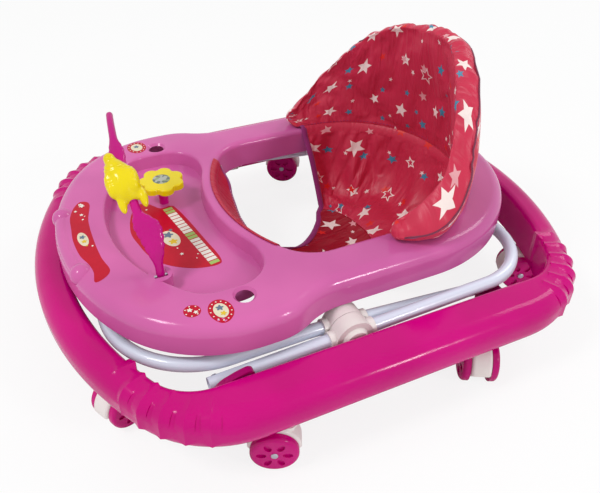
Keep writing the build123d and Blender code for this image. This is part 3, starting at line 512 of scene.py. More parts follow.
def settleCloth(piece, pinned, pressure, growth, cap, frames=20, stiffness=15):
    # a short cloth run from the built shape
    # pinned maps vertex to weight, and cap is the furthest that a point may move
    scene = bpy.context.scene
    start = [v.co.copy() for v in piece.data.vertices]
    group = piece.vertex_groups.new(name="held")
    for index, weight in pinned.items():
        group.add([index], weight, "REPLACE")
    modifier = piece.modifiers.new("cloth", "CLOTH")
    cloth = modifier.settings
    cloth.vertex_group_mass = "held"
    cloth.quality = 6
    cloth.mass = 0.15
    cloth.tension_stiffness = stiffness
    cloth.compression_stiffness = stiffness
    cloth.shear_stiffness = 5
    cloth.bending_stiffness = 0.08
    cloth.air_damping = 3
    cloth.use_pressure = pressure != 0
    cloth.uniform_pressure_force = pressure
    cloth.shrink_min = -growth
    cloth.effector_weights.gravity = 0
    modifier.collision_settings.use_collision = False
    modifier.point_cache.frame_start = 1
    modifier.point_cache.frame_end = frames
    for number in range(1, frames + 1):
        scene.frame_set(number)
    settled = piece.evaluated_get(bpy.context.evaluated_depsgraph_get())
    moved = [v.co.copy() for v in settled.data.vertices]
    piece.modifiers.remove(modifier)
    piece.vertex_groups.remove(group)
    for vertex, first, last in zip(piece.data.vertices, start, moved):
        step = last - first
        length = step.length
        if length > 1e-9:
            step *= cap * math.tanh(length / cap) / length
        vertex.co = first + step
    piece.data.update()
    scene.frame_set(1)


def finer(piece, levels=1):
    modifier = piece.modifiers.new("finer", "SUBSURF")
    modifier.levels = levels
    modifier.render_levels = levels
    modifier.uv_smooth = "PRESERVE_BOUNDARIES"
    bakeModifiers(piece)


def foldNoise(across, along, seed, width, length):
    # ridged folds that run along one direction of the cloth
    spot = Vector((across / width + seed, along / length, seed * 1.3))
    wander = noise.noise(spot * 0.5) * 0.8
    return 1 - 2 * abs(noise.noise(Vector((spot.x + wander, spot.y, spot.z))) * 1.6) - 0.45


def roundSweep(name, points, radius, material, sides=8):
    # a round cord through the points
    rings = []
    count = len(points)
    up = Vector((0, 0, 1))
    for i, point in enumerate(points):
        ahead = (points[min(i + 1, count - 1)] - points[max(i - 1, 0)]).normalized()
        first = ahead.cross(up)
        first = first.normalized() if first.length > 1e-4 else Vector((1, 0, 0))
        second = ahead.cross(first)
        turns = [2 * math.pi * k / sides for k in range(sides)]
        rings.append([point + (first * math.cos(turn) + second * math.sin(turn)) * radius for turn in turns])
    return sweepPiece(name, rings, material)


def stitchNodes():
    # stitches set out evenly along a line of edges
    group = bpy.data.node_groups.new("stitchRun", "GeometryNodeTree")
    face = group.interface
    face.new_socket("Geometry", in_out="INPUT", socket_type="NodeSocketGeometry")
    for name, value in (("Spacing", 0.005), ("Length", 0.0034), ("Thickness", 0.0007)):
        socket = face.new_socket(name, in_out="INPUT", socket_type="NodeSocketFloat")
        socket.default_value = value
    face.new_socket("Thread", in_out="INPUT", socket_type="NodeSocketMaterial")
    face.new_socket("Geometry", in_out="OUTPUT", socket_type="NodeSocketGeometry")
    given = addNode(group, "NodeGroupInput").outputs
    line = addNode(group, "GeometryNodeMeshToCurve", Mesh=given["Geometry"])
    even = addNode(group, "GeometryNodeResampleCurve", {"mode": "LENGTH"}, Curve=line.outputs[0],
                   Length=given["Spacing"])
    along = addNode(group, "GeometryNodeInputTangent")
    turn = addNode(group, "FunctionNodeAlignRotationToVector", {"axis": "Z"}, Vector=along.outputs[0])
    bead = addNode(group, "GeometryNodeMeshIcoSphere", Radius=0.5, Subdivisions=2)
    size = addNode(group, "ShaderNodeCombineXYZ",
                   X=given["Thickness"], Y=given["Thickness"], Z=given["Length"])
    spread = addNode(group, "GeometryNodeInstanceOnPoints", Points=even.outputs[0],
                     Instance=bead.outputs["Mesh"], Rotation=turn.outputs[0], Scale=size.outputs[0])
    solid = addNode(group, "GeometryNodeRealizeInstances", i0=spread.outputs[0])
    dyed = addNode(group, "GeometryNodeSetMaterial", Geometry=solid.outputs[0], Material=given["Thread"])
    result = addNode(group, "NodeGroupOutput")
    group.links.new(dyed.outputs[0], result.inputs["Geometry"])
    return group


stitchRun = stitchNodes()


def stitches(name, points, body, material, spacing=0.005, length=0.0034, thickness=0.0007):
    piece = meshObject(name, points, [], material)
    piece.data.clear_geometry()
    piece.data.from_pydata([tuple(p) for p in points], [(i, i + 1) for i in range(len(points) - 1)], [])
    modifier = piece.modifiers.new("stitches", "NODES")
    modifier.node_group = stitchRun
    wanted = {"Spacing": spacing, "Length": length, "Thickness": thickness, "Thread": material}
    for item in stitchRun.interface.items_tree:
        if item.name in wanted and item.in_out == "INPUT":
            modifier[item.identifier] = wanted[item.name]
    for polygon in bakeModifiers(piece).polygons:
        polygon.use_smooth = True
    fasten(piece, body, "seat_fabric")


# back rest

backRest = {
    "centreY": 0.082,
    "tipAngle": -9.0,       # near tip, degrees round the centre, 0 is +X
    "farTipAngle": 186.0,
    "tipReach": 0.012,
    "pucker": 0.0021,
    "nearSwell": 0.0035,    # the near half stands higher than the far one
    "farDrop": 0.004,
    "step": 0.0042,
    "puff": 0.006,          # how far the roll stands over its chord
    "printShift": 0.031,
    "farRoll": 0.62,        # the roll is thinner on the -X side
    "hollow": 0.004,        # of the inner face
    "bulge": 0.002,         # of the outer face
    "meanRadius": 0.150,    # sets how many stations go round
    "counts": (30, 12, 28, 5),      # points on the inner face, the roll, the outer face and the foot
    "tipStations": 5,       # extra stations that round each tip
    # angle, then radius and height of the inner seam, the crease, the outer edge and the outer foot, mm
    "rows": (
        (-9, 141, 163.0, 151, 186, 170, 171, 160, 162.5),
        (-2, 139, 162.5, 156, 203, 183, 181, 170, 162.5),
        (4, 138, 162.0, 158, 219, 187, 191, 174, 162.5),
        (9, 138, 161.5, 157, 234, 187, 208, 172, 162.5),
        (14, 138, 161.0, 150, 252, 182, 229, 168, 162.5),
        (21, 138, 161.0, 138, 275, 169, 255, 164, 162.5),
        (28, 138, 161.0, 127, 293, 157, 280, 159, 162.5),
        (35, 138, 161.0, 118, 308, 147, 298, 156, 162.5),
        (45, 138, 161.0, 108, 320, 137, 311, 155, 162.5),
        (60, 138, 161.0, 101, 330, 128, 322, 155, 162.5),
        (90, 138, 161.0, 99, 334, 123, 328, 155, 162.5),
    ),
}


def makeBackRest():
    build = backRest
    tip = build["tipAngle"]
    span = build["farTipAngle"] - tip
    stations = int(math.radians(span) * build["meanRadius"] / build["step"])
    counts, ends = build["counts"], build["tipStations"]
    total = sum(counts)

    def section(angle):
        mirrored = angle if angle <= 90 else 180 - angle
        v = [value / 1000 for value in throughRows(build["rows"], mirrored)]
        seam, crease, edge, foot = ((v[k], v[k + 1]) for k in (0, 2, 4, 6))
        far = clamp((angle - 90) / 50)
        swell = build["nearSwell"] * math.exp(-((angle - 62) / 26) ** 2) - build["farDrop"] * far
        crease = (crease[0] + swell * 0.8, crease[1] + swell)
        edge = (edge[0] + swell * 0.8, edge[1] + swell)
        thin = 1 - (1 - build["farRoll"]) * ease(far)
        edge = (crease[0] + (edge[0] - crease[0]) * thin, crease[1] + (edge[1] - crease[1]) * thin)
        points = []
        for k in range(counts[0]):      # inner face, slightly hollow
            t = k / counts[0]
            points.append((seam[0] + (crease[0] - seam[0]) * t + build["hollow"] * math.sin(math.pi * t),
                           seam[1] + (crease[1] - seam[1]) * t))
        chord = (edge[0] - crease[0], edge[1] - crease[1])
        size = math.hypot(*chord)
        over = (-chord[1] / size, chord[0] / size)
        for k in range(counts[1]):      # the padded roll over the top
            t = k / counts[1]
            rise = build["puff"] * thin * math.sin(math.pi * min(1, t * 1.05)) ** 0.7 if t > 0 else 0
            points.append(tuple(crease[a] + chord[a] * t + over[a] * rise for a in (0, 1)))
        for k in range(counts[2]):
            t = k / counts[2]
            points.append((edge[0] + (foot[0] - edge[0]) * t + build["bulge"] * math.sin(math.pi * t),
                           edge[1] + (foot[1] - edge[1]) * t))
        for k in range(counts[3]):
            t = k / counts[3]
            points.append((foot[0] + (seam[0] - foot[0]) * t, foot[1] + (seam[1] - foot[1]) * t))
        return points

    rings = []
    for k in range(-ends, stations + ends):
        inner = min(max(k, 0), stations - 1)
        angle = tip + span * inner / (stations - 1)
        points = section(angle)
        past = max(0, -k, k - stations + 1)
        if past:                        # round the tip: shrink towards the middle and move on
            middle = (sum(p[0] for p in points) / total, sum(p[1] for p in points) / total)
            turn = math.pi / 2 * past / (ends + 0.4)
            shrink = math.cos(turn) ** 0.8
            on = build["tipReach"] * math.sin(turn)
            points = [(middle[0] + (p[0] - middle[0]) * shrink, middle[1] + (p[1] - middle[1]) * shrink)
                      for p in points]
        else:
            on = 0
        beyond = on * (-1 if k < 0 else 1)
        turn = math.radians(angle)
        ring = []
        for j, (radius, height) in enumerate(points):
            # gathers pulled in by the piping on the roll, slower waves on the inner face
            onRoll = counts[0] < j < counts[0] + counts[1]
            onFace = 2 < j < counts[0]
            wave = foldNoise(k * build["step"], j * 0.004, 2.7, 0.012 if onRoll else 0.03, 0.12)
            if onRoll or abs(j - counts[0] - counts[1]) < 5:
                wave += 0.55 * foldNoise(k * build["step"], j * 0.004, 6.1, 0.0065, 0.05)
            depth = 1 if onRoll else 2.4 * math.sin(math.pi * j / counts[0]) if onFace else 0.4
            strength = build["pucker"] * depth
            strength *= 1 - 0.75 * clamp((angle - 90) / 40)
            radius += (wave * strength * (-0.7 if onFace else 0.3)) * (0 if past else 1)
            height += (wave * strength if onRoll else 0) * (0 if past else 1)
            x = radius * math.cos(turn) - beyond * math.sin(turn)
            y = build["centreY"] + radius * math.sin(turn) + beyond * math.cos(turn)
            ring.append(Vector((x, y, height)))
        rings.append(ring)

    lengths = [0.0]
    middle = section(40)
    for a, b in zip(middle, middle[1:] + middle[:1]):
        lengths.append(lengths[-1] + math.hypot(a[0] - b[0], a[1] - b[1]))
    shift = build["printShift"]
    piece = gridPiece("backRest", len(rings), total, lambda i, j: rings[i][j],
                      lambda i, j: (i * build["step"] + shift, lengths[j] + shift),
                      seatCloth, closed=True)
    # close the two tips
    shape = bmesh.new()
    shape.from_mesh(piece.data)
    last = (len(rings) - 1) * total
    for start in (0, last):
        shape.verts.ensure_lookup_table()
        loop = [shape.verts[start + j] for j in range(total)]
        centre = shape.verts.new(sum((v.co for v in loop), Vector()) / total)
        for j in range(total):
            face = shape.faces.new((loop[j], loop[(j + 1) % total], centre))
            face.smooth = True
    bmesh.ops.recalc_face_normals(shape, faces=shape.faces)
    shape.to_mesh(piece.data)
    shape.free()
    pinned = {}
    creaseRow, footRow = counts[0], counts[0] + counts[1] + counts[2]
    for i in range(len(rings)):
        for j in range(total):
            index = i * total + j
            if j in (0, 1, creaseRow) or j >= footRow - 1:
                pinned[index] = 1.0
            elif j == creaseRow + counts[1]:
                pinned[index] = 0.15
    settleCloth(piece, pinned, pressure=2.5, growth=0.028, cap=0.006)
    inside = range(ends, len(rings) - ends)
    outerEdge = [piece.data.vertices[i * total + creaseRow + counts[1]].co.copy() for i in inside]
    innerSeam = [piece.data.vertices[i * total + 1].co.copy() for i in inside]
    finer(piece)
    fasten(piece, "tray", "seat_fabric")
    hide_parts("back_pad")
    return outerEdge, innerSeam


padEdge, padSeam = makeBackRest()
piping = roundSweep("backRestPiping", padEdge, 0.0011, bindingTape("pipingTape", "6E0F3C"))
fasten(piping, "tray", "seat_fabric")
print("back rest made")

# sling

sling = {
    "centreY": 0.082,
    # the cloth over the tray's rim, radius round the centre and height, outside to inside, mm
    "overRim": ((140.5, 163.0), (138.6, 161.6), (136.9, 159.2), (135.4, 156.2), (134.4, 153.0)),
    "rimRadius": 0.1338,
    "rimHeight": 0.150,
    # side edge of the wall, top to bottom, on the +X side, mm
    "sideEdge": ((0, 134, 74, 150), (0.32, 120, 78, 122), (0.68, 105, 82, 80), (1, 84, 81, 46)),
    # crease between wall and bottom, side to middle, mm
    "crease": ((0, 84, 81, 46), (0.3, 68, 94, 48), (0.6, 40, 105, 50), (1, 0, 112, 50)),
    # edge of the bottom and of the crotch strap, back to front, mm
    "strapEdge": ((0, 84, 81, 46), (0.14, 62, 65, 40), (0.3, 32, 36, 38), (0.45, 18, 8, 41),
                  (0.6, 17, -26, 50), (0.8, 20, -60, 78), (1, 24, -80, 117)),
    # the front hem: reach into the opening from its wall, and height, mm
    "frontHem": ((-6.5, 161.2), (-3.2, 159.6), (-0.4, 157.0), (1.4, 153.6), (2.6, 149.5), (8, 141), (15, 131),
                 (22, 122), (26, 116)),
    "hemHalf": 0.104,           # half the hem's width
    "hemCurve": 0.2,            # radius of the opening's front edge
    "hemFront": -0.103,
    "hemFoot": (2.6, 149.5),    # reach and height where the hem's two ends run out, mm
    "onRim": 4,                 # rows of the front hem that lie on the rim
    "sideY": 0.074,             # where the wall's side edges meet the rim
    "wallFolds": 0.0074,
    "seams": (1.12, 2.02),      # two upright seams, turns round the wall
}


def makeSling():
    build = sling
    columns, rows = 121, 54
    over = build["overRim"]
    centre = Vector((0, build["centreY"], 0))

    def wallPoint(i, j):
        down = max(0, i - len(over)) / (rows - 1 - len(over))
        turn = math.pi * j / (columns - 1)
        half = min(j, columns - 1 - j) / ((columns - 1) / 2)       # 0 at the side edge, 1 at the rear
        side = [v / 1000 for v in throughRows(build["sideEdge"], down)]
        bottom = [v / 1000 for v in throughRows(build["crease"], half)]
        sign = 1 if turn <= math.pi / 2 else -1
        low = Vector((sign * bottom[0], bottom[1], bottom[2]))
        tilt = turn if turn <= math.pi / 2 else math.pi - turn
        start = math.asin((build["sideY"] - build["centreY"]) / build["rimRadius"])
        swing = start + (math.pi / 2 - start) * tilt / (math.pi / 2)
        if i < len(over):
            radius, height = over[i][0] / 1000, over[i][1] / 1000
            return Vector((sign * radius * math.cos(swing),
                           build["centreY"] + radius * math.sin(swing), height))
        top = Vector((sign * build["rimRadius"] * math.cos(swing),
                      build["centreY"] + build["rimRadius"] * math.sin(swing), build["rimHeight"]))
        # a hanging profile: steep under the rim, then swinging forward to the crease
        bend = down * math.pi / 2
        hang = Vector((low.x + (top.x - low.x) * math.cos(bend) ** 0.85,
                       low.y + (top.y - low.y) * math.cos(bend) ** 0.85,
                       top.z + (low.z - top.z) * math.sin(bend) ** 1.15))
        edge = Vector((sign * side[0], side[1], side[2]))
        point = edge.lerp(hang, ease(min(1, half / 0.22)))
        out = (point - centre)
        out.z = 0
        out.normalize()
        free = math.sin(math.pi * min(1, down * 1.02)) * min(1, half * 8)
        across = turn * 0.12
        lean = down * 0.05 * math.copysign(1, turn - 1.2)
        fold = foldNoise(across + lean, down * 0.12, 4.2, 0.034, 0.22)
        small = foldNoise(across - lean * 0.6, down * 0.12, 9.7, 0.013, 0.13)
        drawn = sum(math.exp(-((turn - seam) / 0.035) ** 2) for seam in build["seams"])
        return point + out * free * (build["wallFolds"] * fold + 0.0026 * small + 0.0035 * drawn)

    def wallFlat(i, j):
        turn = j / (columns - 1)
        return ((turn - 0.5) * 0.37 + 0.7, 0.3 - i / (rows - 1) * 0.17)

    wall = gridPiece("slingWall", rows, columns, wallPoint, wallFlat, seatCloth)
    stripRows, stripColumns = 61, 33

    def bottomPoint(i, j):
        forward = i / (stripRows - 1)
        side = 2 * j / (stripColumns - 1) - 1
        edge = [v / 1000 for v in throughRows(build["strapEdge"], forward)]
        back = [v / 1000 for v in throughRows(build["crease"], 1 - abs(side))]
        fade = (1 - forward) ** 2.2
        y = edge[1] + (back[1] - build["strapEdge"][0][2] / 1000) * fade
        sag = -0.004 * (1 - side * side) * math.sin(math.pi * min(1, forward * 1.6)) * (forward < 0.62)
        z = edge[2] + (back[2] - build["strapEdge"][0][3] / 1000) * fade + sag
        ramp = ease(min(1, forward / 0.14))
        x = (1 if side > 0 else -1) * back[0] * (1 - ramp) + edge[0] * side * ramp
        ripple = 0.0016 * foldNoise(x, y, 3.3, 0.02, 0.09) * math.sin(math.pi * min(1, forward * 1.2))
        return Vector((x, y, z + ripple))

    def bottomFlat(i, j):
        point = bottomPoint(i, j)
        return (point.x + 1.4, i / (stripRows - 1) * 0.25 + 0.1)

    # the bottom panel takes the darker cloth, painted shade for the deep inside of the seat
    bottom = gridPiece("slingBottom", stripRows, stripColumns, bottomPoint, bottomFlat, paintedShadeCloth)

    hemColumns, hemRows = 71, 25
    path, onRim, curve = build["frontHem"], build["onRim"], build["hemCurve"]
    footReach, footHeight = build["hemFoot"]

    def hemPoint(i, j):
        across = 2 * j / (hemColumns - 1) - 1
        down = i / (hemRows - 1)
        place = down * (len(path) - 1)
        reach, height = throughRows([(k, *point) for k, point in enumerate(path)], place)
        # the hem runs out towards the two ends of the front edge
        low = max(0, (place - onRim) / (len(path) - onRim - 1))
        ends = 1 - abs(across) ** 3.8
        if place > onRim:
            reach = reach * ends + footReach * (1 - ends)
            height = footHeight - (footHeight - height) * ends - 0.8 * low
        x = build["hemHalf"] * across
        front = build["hemFront"] + curve - math.sqrt(curve**2 - x * x)
        facing = Vector((-x, curve + build["hemFront"] - front, 0)).normalized()
        ripple = 0.0013 * foldNoise(x, down * 0.03, 7.1, 0.04, 0.08) * low * ends * (1.15 - low)
        tuck = 0.003 * math.exp(-((across + 0.86) / 0.09) ** 2) * low
        return Vector((x, front, height / 1000)) + facing * (reach / 1000 + ripple + tuck)

    def hemFlat(i, j):
        return (j / (hemColumns - 1) * 0.21 + 2.2, i / (hemRows - 1) * 0.06)

    hem = gridPiece("slingFrontHem", hemRows, hemColumns, hemPoint, hemFlat, hemCloth)
    grid = (rows, columns, stripRows, stripColumns, hemRows, hemColumns)
    return wall, bottom, hem, wallPoint, bottomPoint, hemPoint, grid


def thicken(piece, thickness):
    modifier = piece.modifiers.new("thickness", "SOLIDIFY")
    modifier.thickness = thickness
    modifier.offset = 0
    bakeModifiers(piece)


def pathTape(name, points, normals, width, thickness, material):
    # a flat tape, folded over an edge that runs through the points
    # normals point away from the cloth edge
    turns = [2 * math.pi * k / 10 for k in range(10)]
    section = [(math.cos(turn) * width / 2, math.sin(turn) * thickness / 2) for turn in turns]
    rings = []
    count = len(points)
    for i, (point, normal) in enumerate(zip(points, normals)):
        ahead = (points[min(i + 1, count - 1)] - points[max(i - 1, 0)]).normalized()
        across = (normal - ahead * normal.dot(ahead)).normalized()
        third = ahead.cross(across)
        rings.append([point + across * wide + third * deep for wide, deep in section])
    return sweepPiece(name, rings, material)


slingWall, slingBottom, slingHem, wallPoint, bottomPoint, hemPoint, grid = makeSling()
wallRows, wallColumns, bottomRows, bottomColumns, hemRows, hemColumns = grid
pins = {}
for i in range(wallRows):
    for j in range(wallColumns):
        if i <= len(sling["overRim"]) or i == wallRows - 1 or j in (0, wallColumns - 1):
            pins[i * wallColumns + j] = 1.0
settleCloth(slingWall, pins, pressure=0.0, growth=0.05, cap=0.010, frames=16, stiffness=10)
# these flat sizes are given, not measured, and nothing reads them: along its own surface the modelled cloth
# is 0.475 x 0.185 m with 0.063 m2, 0.183 x 0.232 m with 0.015 m2, and 0.226 x 0.057 m with 0.010 m2
for piece, flat, area in ((slingWall, (0.40, 0.19), None), (slingBottom, (0.17, 0.26), 0.0165),
                          (slingHem, (0.215, 0.062), None)):
    outwardNormals(piece)
    finer(piece)
    thicken(piece, 0.0012)
    fasten(piece, "tray", "seat_fabric")
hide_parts("seat_sling")

for sideName, column in (("Right", 0), ("Left", wallColumns - 1)):
    first = wallPoint(0, column)
    outward = 1 if first.x > 0 else -1
    onTray = ((0.1500, 0.0675, 0.1617), (0.1465, 0.0700, 0.1620))
    route = [Vector((outward * x, y, z)) for x, y, z in onTray]
    route += [wallPoint(i, column) for i in range(0, wallRows, 2)]
    edge = 0 if column else bottomColumns - 1
    route += [bottomPoint(i, edge) for i in range(4, bottomRows, 2)]
    away = [Vector((0, -1, 0.3))] * 3 + [Vector((0, -1, 0))] * (len(route) - 3)
    piece = pathTape("binding" + sideName, route, away, 0.009, 0.0034, tape)
    fasten(piece, "tray", "seat_fabric")
hemEdge = [hemPoint(hemRows - 1, j) for j in range(hemColumns)]
hemTape = pathTape("bindingFront", hemEdge, [Vector((0, 0.5, -1))] * hemColumns, 0.007, 0.003, tape)
fasten(hemTape, "tray", "seat_fabric")
thread = bindingTape("paleThread", "E7B6C4")
stitches("seamStitches", padSeam, "tray", tape)
stitches("hemStitches", [hemPoint(hemRows - 3, j) + Vector((0, 0.0012, 0.0006)) for j in range(hemColumns)],
         "tray", thread)
print("sling made")

# toys

toyBar = {
    "foot": (0.101, -0.214, 0.157),
    "span": 0.202,
    "rise": 0.033,
    "lean": 15.0,
    "lift": 37.0,
    # along the arch from the near foot, half width across the bar, half thickness and sway to the rear, mm
    "near": ((-3.5, 2.0, 2.0, 0), (0, 4.6, 4.5, 0.5), (12, 4.8, 4.6, 2.5), (22, 7.2, 4.0, 4.2),
             (36, 10.6, 3.6, 5.6), (48, 12.6, 3.6, 5.8), (57, 13.0, 3.6, 4.6), (64, 10.2, 3.8, 2.4),
             (70, 6.6, 4.0, 0.7), (75, 5.2, 4.2, 0), (87, 4.7, 4.6, 0)),
    "far": ((127, 4.9, 4.6, 0), (134, 6.2, 4.2, -1), (143, 7.8, 3.6, -1.8), (153, 7.2, 3.6, -2),
            (160, 5.6, 3.8, -2), (166, 4.5, 4.2, -1.8), (182, 4.1, 4.2, -1.2), (204, 3.9, 4.0, -0.6),
            (210, 3.7, 3.6, -0.4), (211.5, 2.6, 2.6, -0.4)),
    "rodRadius": 0.0045,
    "rodLength": 0.046,
    "rodMiddle": 0.108,     # along the arch, where the bird sits
}


def archFrame(distance):
    # point, direction along, in-plane normal and cross direction at a distance along the raised arch
    build = toyBar
    lean, lift = math.radians(build["lean"]), math.radians(build["lift"])
    span, rise = build["span"], build["rise"]
    radius = (span * span / 4 + rise * rise) / (2 * rise)
    half = math.asin(span / 2 / radius)
    turn = distance / radius - half
    right, up = Vector((-1, 0, 0)), Vector((0, -math.sin(lean), math.cos(lean)))
    cross = Vector((0, math.cos(lean), math.sin(lean)))
    local = right * (span / 2 + radius * math.sin(turn)) + up * (rise - radius + radius * math.cos(turn))
    along = right * math.cos(turn) - up * math.sin(turn)
    normal = right * math.sin(turn) + up * math.cos(turn)
    spin = Matrix.Rotation(lift, 3, "Y")
    return Vector(build["foot"]) + spin @ local, spin @ along, spin @ normal, spin @ cross


def leafLeg(name, rows):
    # one leg of the bar: a moulded leaf whose section swells and thins, with a rib along its middle
    sides, step, power = 28, 0.0015, 0.8
    first, last = rows[0][0] / 1000, rows[-1][0] / 1000
    count = int((last - first) / step) + 1
    rings = []
    for i in range(count):
        distance = first + (last - first) * i / (count - 1)
        wide, thick, sway = (value / 1000 for value in throughRows(rows, distance * 1000))
        point, along, normal, cross = archFrame(distance)
        scallop = 0.0011 * abs(math.sin(distance * 1000 * math.pi / 9)) * clamp((wide - 0.0055) / 0.003)
        ring = []
        for k in range(sides):
            turn = 2 * math.pi * k / sides
            c, d = math.cos(turn), math.sin(turn)
            across = math.copysign(abs(c) ** power, c) * (wide + scallop * abs(c) ** 4)
            rib = 0.0011 * math.exp(-(c / 0.16) ** 2) * clamp((wide - 0.005) / 0.003)
            vein = 0.0004 * math.sin((distance * 1000 + abs(c) * 9) * math.pi / 4.5) * abs(c) * (wide > 0.007)
            deep = math.copysign(abs(d) ** power, d) * (thick * (1 - 0.25 * abs(c) ** 3) + rib + vein)
            ring.append(point + cross * (across + sway) + normal * deep)
        rings.append(ring)
    piece = sweepPiece(name, rings, barPlastic)
    fasten(piece, "bar", "bar_plastic")
    return piece


def makeToyBar():
    near = leafLeg("toyBarNearLeaf", toyBar["near"])
    leafLeg("toyBarFarLeaf", toyBar["far"])
    middle, along, normal, cross = archFrame(toyBar["rodMiddle"])
    length = toyBar["rodLength"]
    line = [middle + along * (t * length / 8 - length / 2) for t in range(9)]
    rod = roundSweep("toyBarRod", line, toyBar["rodRadius"], barPlastic, sides=24)
    fasten(rod, "bar", "bar_plastic")
    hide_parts("toy_bar")


makeToyBar()

# the bird on the rod: blobs in its own axes (along the rod, up, across), centre and half sizes, mm
bird = {
    "blobs": (
        ((2, 1, -5), (24, 15, 15)), ((15, 5, -8), (13, 12, 12)), ((28, 9, -10), (7, 6.5, 6.5)),
        ((-12, 0, -1), (12, 10, 11)), ((-21, 1, 11.6), (13, 5.2, 5.0)), ((-21, 1, -11.6), (13.5, 5.2, 5.0)),
        ((0, 5, 7), (16, 9, 7)), ((0, 5, -17), (16, 9, 6)),
    ),
    "voxel": 0.0011,
    "smoothing": 30,
    "boreGap": 0.0002,                  # clearance round the rod
    "grooveDepth": 0.0008,
    "grooves": (7.5, 11.5, 15.5),       # radii of the wing's feather lines, mm
}


def makeBird():
    middle, along, normal, cross = archFrame(toyBar["rodMiddle"])
    turned = Matrix((along, normal, cross)).transposed()
    shape = bmesh.new()
    for centre, half in bird["blobs"]:
        place = turned @ Vector([c / 1000 for c in centre]) + middle
        scale = Matrix.Diagonal(Vector([h / 1000 for h in half])).to_4x4()
        matrix = Matrix.Translation(place) @ turned.to_4x4() @ scale
        bmesh.ops.create_icosphere(shape, subdivisions=4, radius=1, matrix=matrix)
    mesh = bpy.data.meshes.new("toyBird")
    shape.to_mesh(mesh)
    shape.free()
    piece = bpy.data.objects.new("toyBird", mesh)
    bpy.context.scene.collection.objects.link(piece)
    remesh = piece.modifiers.new("join", "REMESH")
    remesh.mode = "VOXEL"
    remesh.voxel_size = bird["voxel"]
    smooth = piece.modifiers.new("blend", "SMOOTH")
    smooth.factor = 0.5
    smooth.iterations = bird["smoothing"]
    cutter = roundSweep("rodHole", [middle + along * (t * 0.02 - 0.06) for t in range(7)],
                        toyBar["rodRadius"] + bird["boreGap"], yellowPlastic, sides=32)
    bore = piece.modifiers.new("bore", "BOOLEAN")
    bore.operation = "DIFFERENCE"
    bore.object = cutter
    made = bakeModifiers(piece)
    bpy.data.objects.remove(cutter)
    made.materials.clear()
    made.materials.append(yellowPlastic)
    back = turned.transposed()
    for vertex in made.vertices:
        x, y, z = (back @ (vertex.co - middle)) * 1000
        # feather lines on both wings, and a line round the neck
        depth = 0
        if abs(z) > 8:
            reach = math.hypot(x - 9, y - 2)
            for radius in bird["grooves"]:
                depth += math.exp(-((reach - radius) / 0.9) ** 2)
        if x > 0 and math.hypot(y, z) > 6:
            depth += math.exp(-((x - 9.5 - y * 0.3) / 0.9) ** 2)
        vertex.co -= vertex.normal * bird["grooveDepth"] * min(1, depth)
    for polygon in made.polygons:
        polygon.use_smooth = True
    fasten(piece, "animal", "yellow_plastic")
    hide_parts("toy_animal")


makeBird()
print("toys made")

# printed labels on the tray

def printedFilm(name, colour):
    # printed vinyl film with a satin face, so that its inks stay even under the lamps
    material, tree, shader, place = newMaterial(name)
    tone = addNode(tree, "ShaderNodeTexNoise", Vector=place.outputs["Object"], Scale=160.0, Detail=2.0)
    mixed = addNode(tree, "ShaderNodeMix", {"data_type": "RGBA"}, i0=tone.outputs[0],
                    i6=linearColour(colour), i7=[c * 0.82 for c in linearColour(colour)[:3]] + [1])
    tree.links.new(mixed.outputs[2], shader.inputs["Base Color"])
    setInputs(shader, Roughness=0.3, Specular_IOR_Level=0.16)
    return material


inks = {
    "red": printedFilm("labelRed", "C4102E"), "white": printedFilm("labelWhite", "F1ECE2"),
    "green": printedFilm("labelGreen", "A7C46C"), "pale": printedFilm("labelPale", "E9E0C4"),
    "yellow": printedFilm("labelYellow", "E8C53A"), "blue": printedFilm("labelBlue", "6A7C92"),
}

labels = {
    # outlines in plan, mm
    "front": ((-65, -257), (-74, -266), (-64, -276), (-44, -284), (-19, -287), (5, -289), (34, -287),
              (54, -281), (70, -279), (86, -281), (85, -272), (73, -262), (46, -266), (9, -267),
              (-30, -265)),
    "recess": ((-66, -200), (-44, -213), (-11, -221), (18, -218), (44, -212), (67, -198), (85, -172),
               (90, -145), (79, -138), (37, -143), (-8, -149), (-40, -155), (-48, -160), (-48, -174),
               (-64, -186)),
    "keysFrom": (-46, -160),
    "keysTo": (86, -140.5),
    "keyLength": 12.0,
    "keyCount": 19,
    "greenKeys": (0, 1, 9, 10, 18),
    # middle and half sizes, and a turn where there is one
    "panels": ((5, -278, 14, 5.8, 0.05), (183, -174, 11, 7.6), (-181, -168, 10, 8),
               (20, -180, 17, 10, 0.15), (24, -206, 12, 4.2, 0.1)),
    # middle, radius and turn of the flowers on the panels
    "whiteFlowers": ((170, -203, 2.4, 0.3), (175, -198, 2, 0.9)),
    "blueFlowers": ((1, -278, 3, 0.2), (179, -174, 3.4, 0.4), (12, -181, 5, 0.2), (-183, -168, 3.2, 0.4)),
    "yellowFlowers": ((10, -277.5, 2.6, 0.5), (188, -173, 2.8, 0.1), (27, -179, 4.5, 0.5)),
    "round": ((172, -201, 9, 9), (183, -174, 17, 13), (-181, -168, 16, 13)),
    "lift": 0.00012,
}


def smoothLoop(points, step=2.0):
    # closed Catmull-Rom curve through the points, in mm
    out = []
    count = len(points)
    for i in range(count):
        a, b, c, d = (Vector(points[(i + k) % count]) for k in (-1, 0, 1, 2))
        pieces = max(2, int((c - b).length / step))
        for k in range(pieces):
            t = k / pieces
            out.append(0.5 * (2 * b + (c - a) * t + (2 * a - 5 * b + 4 * c - d) * t * t
                              + (3 * b - a - 3 * c + d) * t**3))
    return out


def ovalLoop(x, y, halfX, halfY, turn=0.0, petals=0, depth=0.0):
    out = []
    for k in range(40):
        angle = 2 * math.pi * k / 40
        swell = 1 + depth * math.cos(petals * angle)
        px, py = halfX * swell * math.cos(angle), halfY * swell * math.sin(angle)
        out.append(Vector((x + px * math.cos(turn) - py * math.sin(turn),
                           y + px * math.sin(turn) + py * math.cos(turn))))
    return out


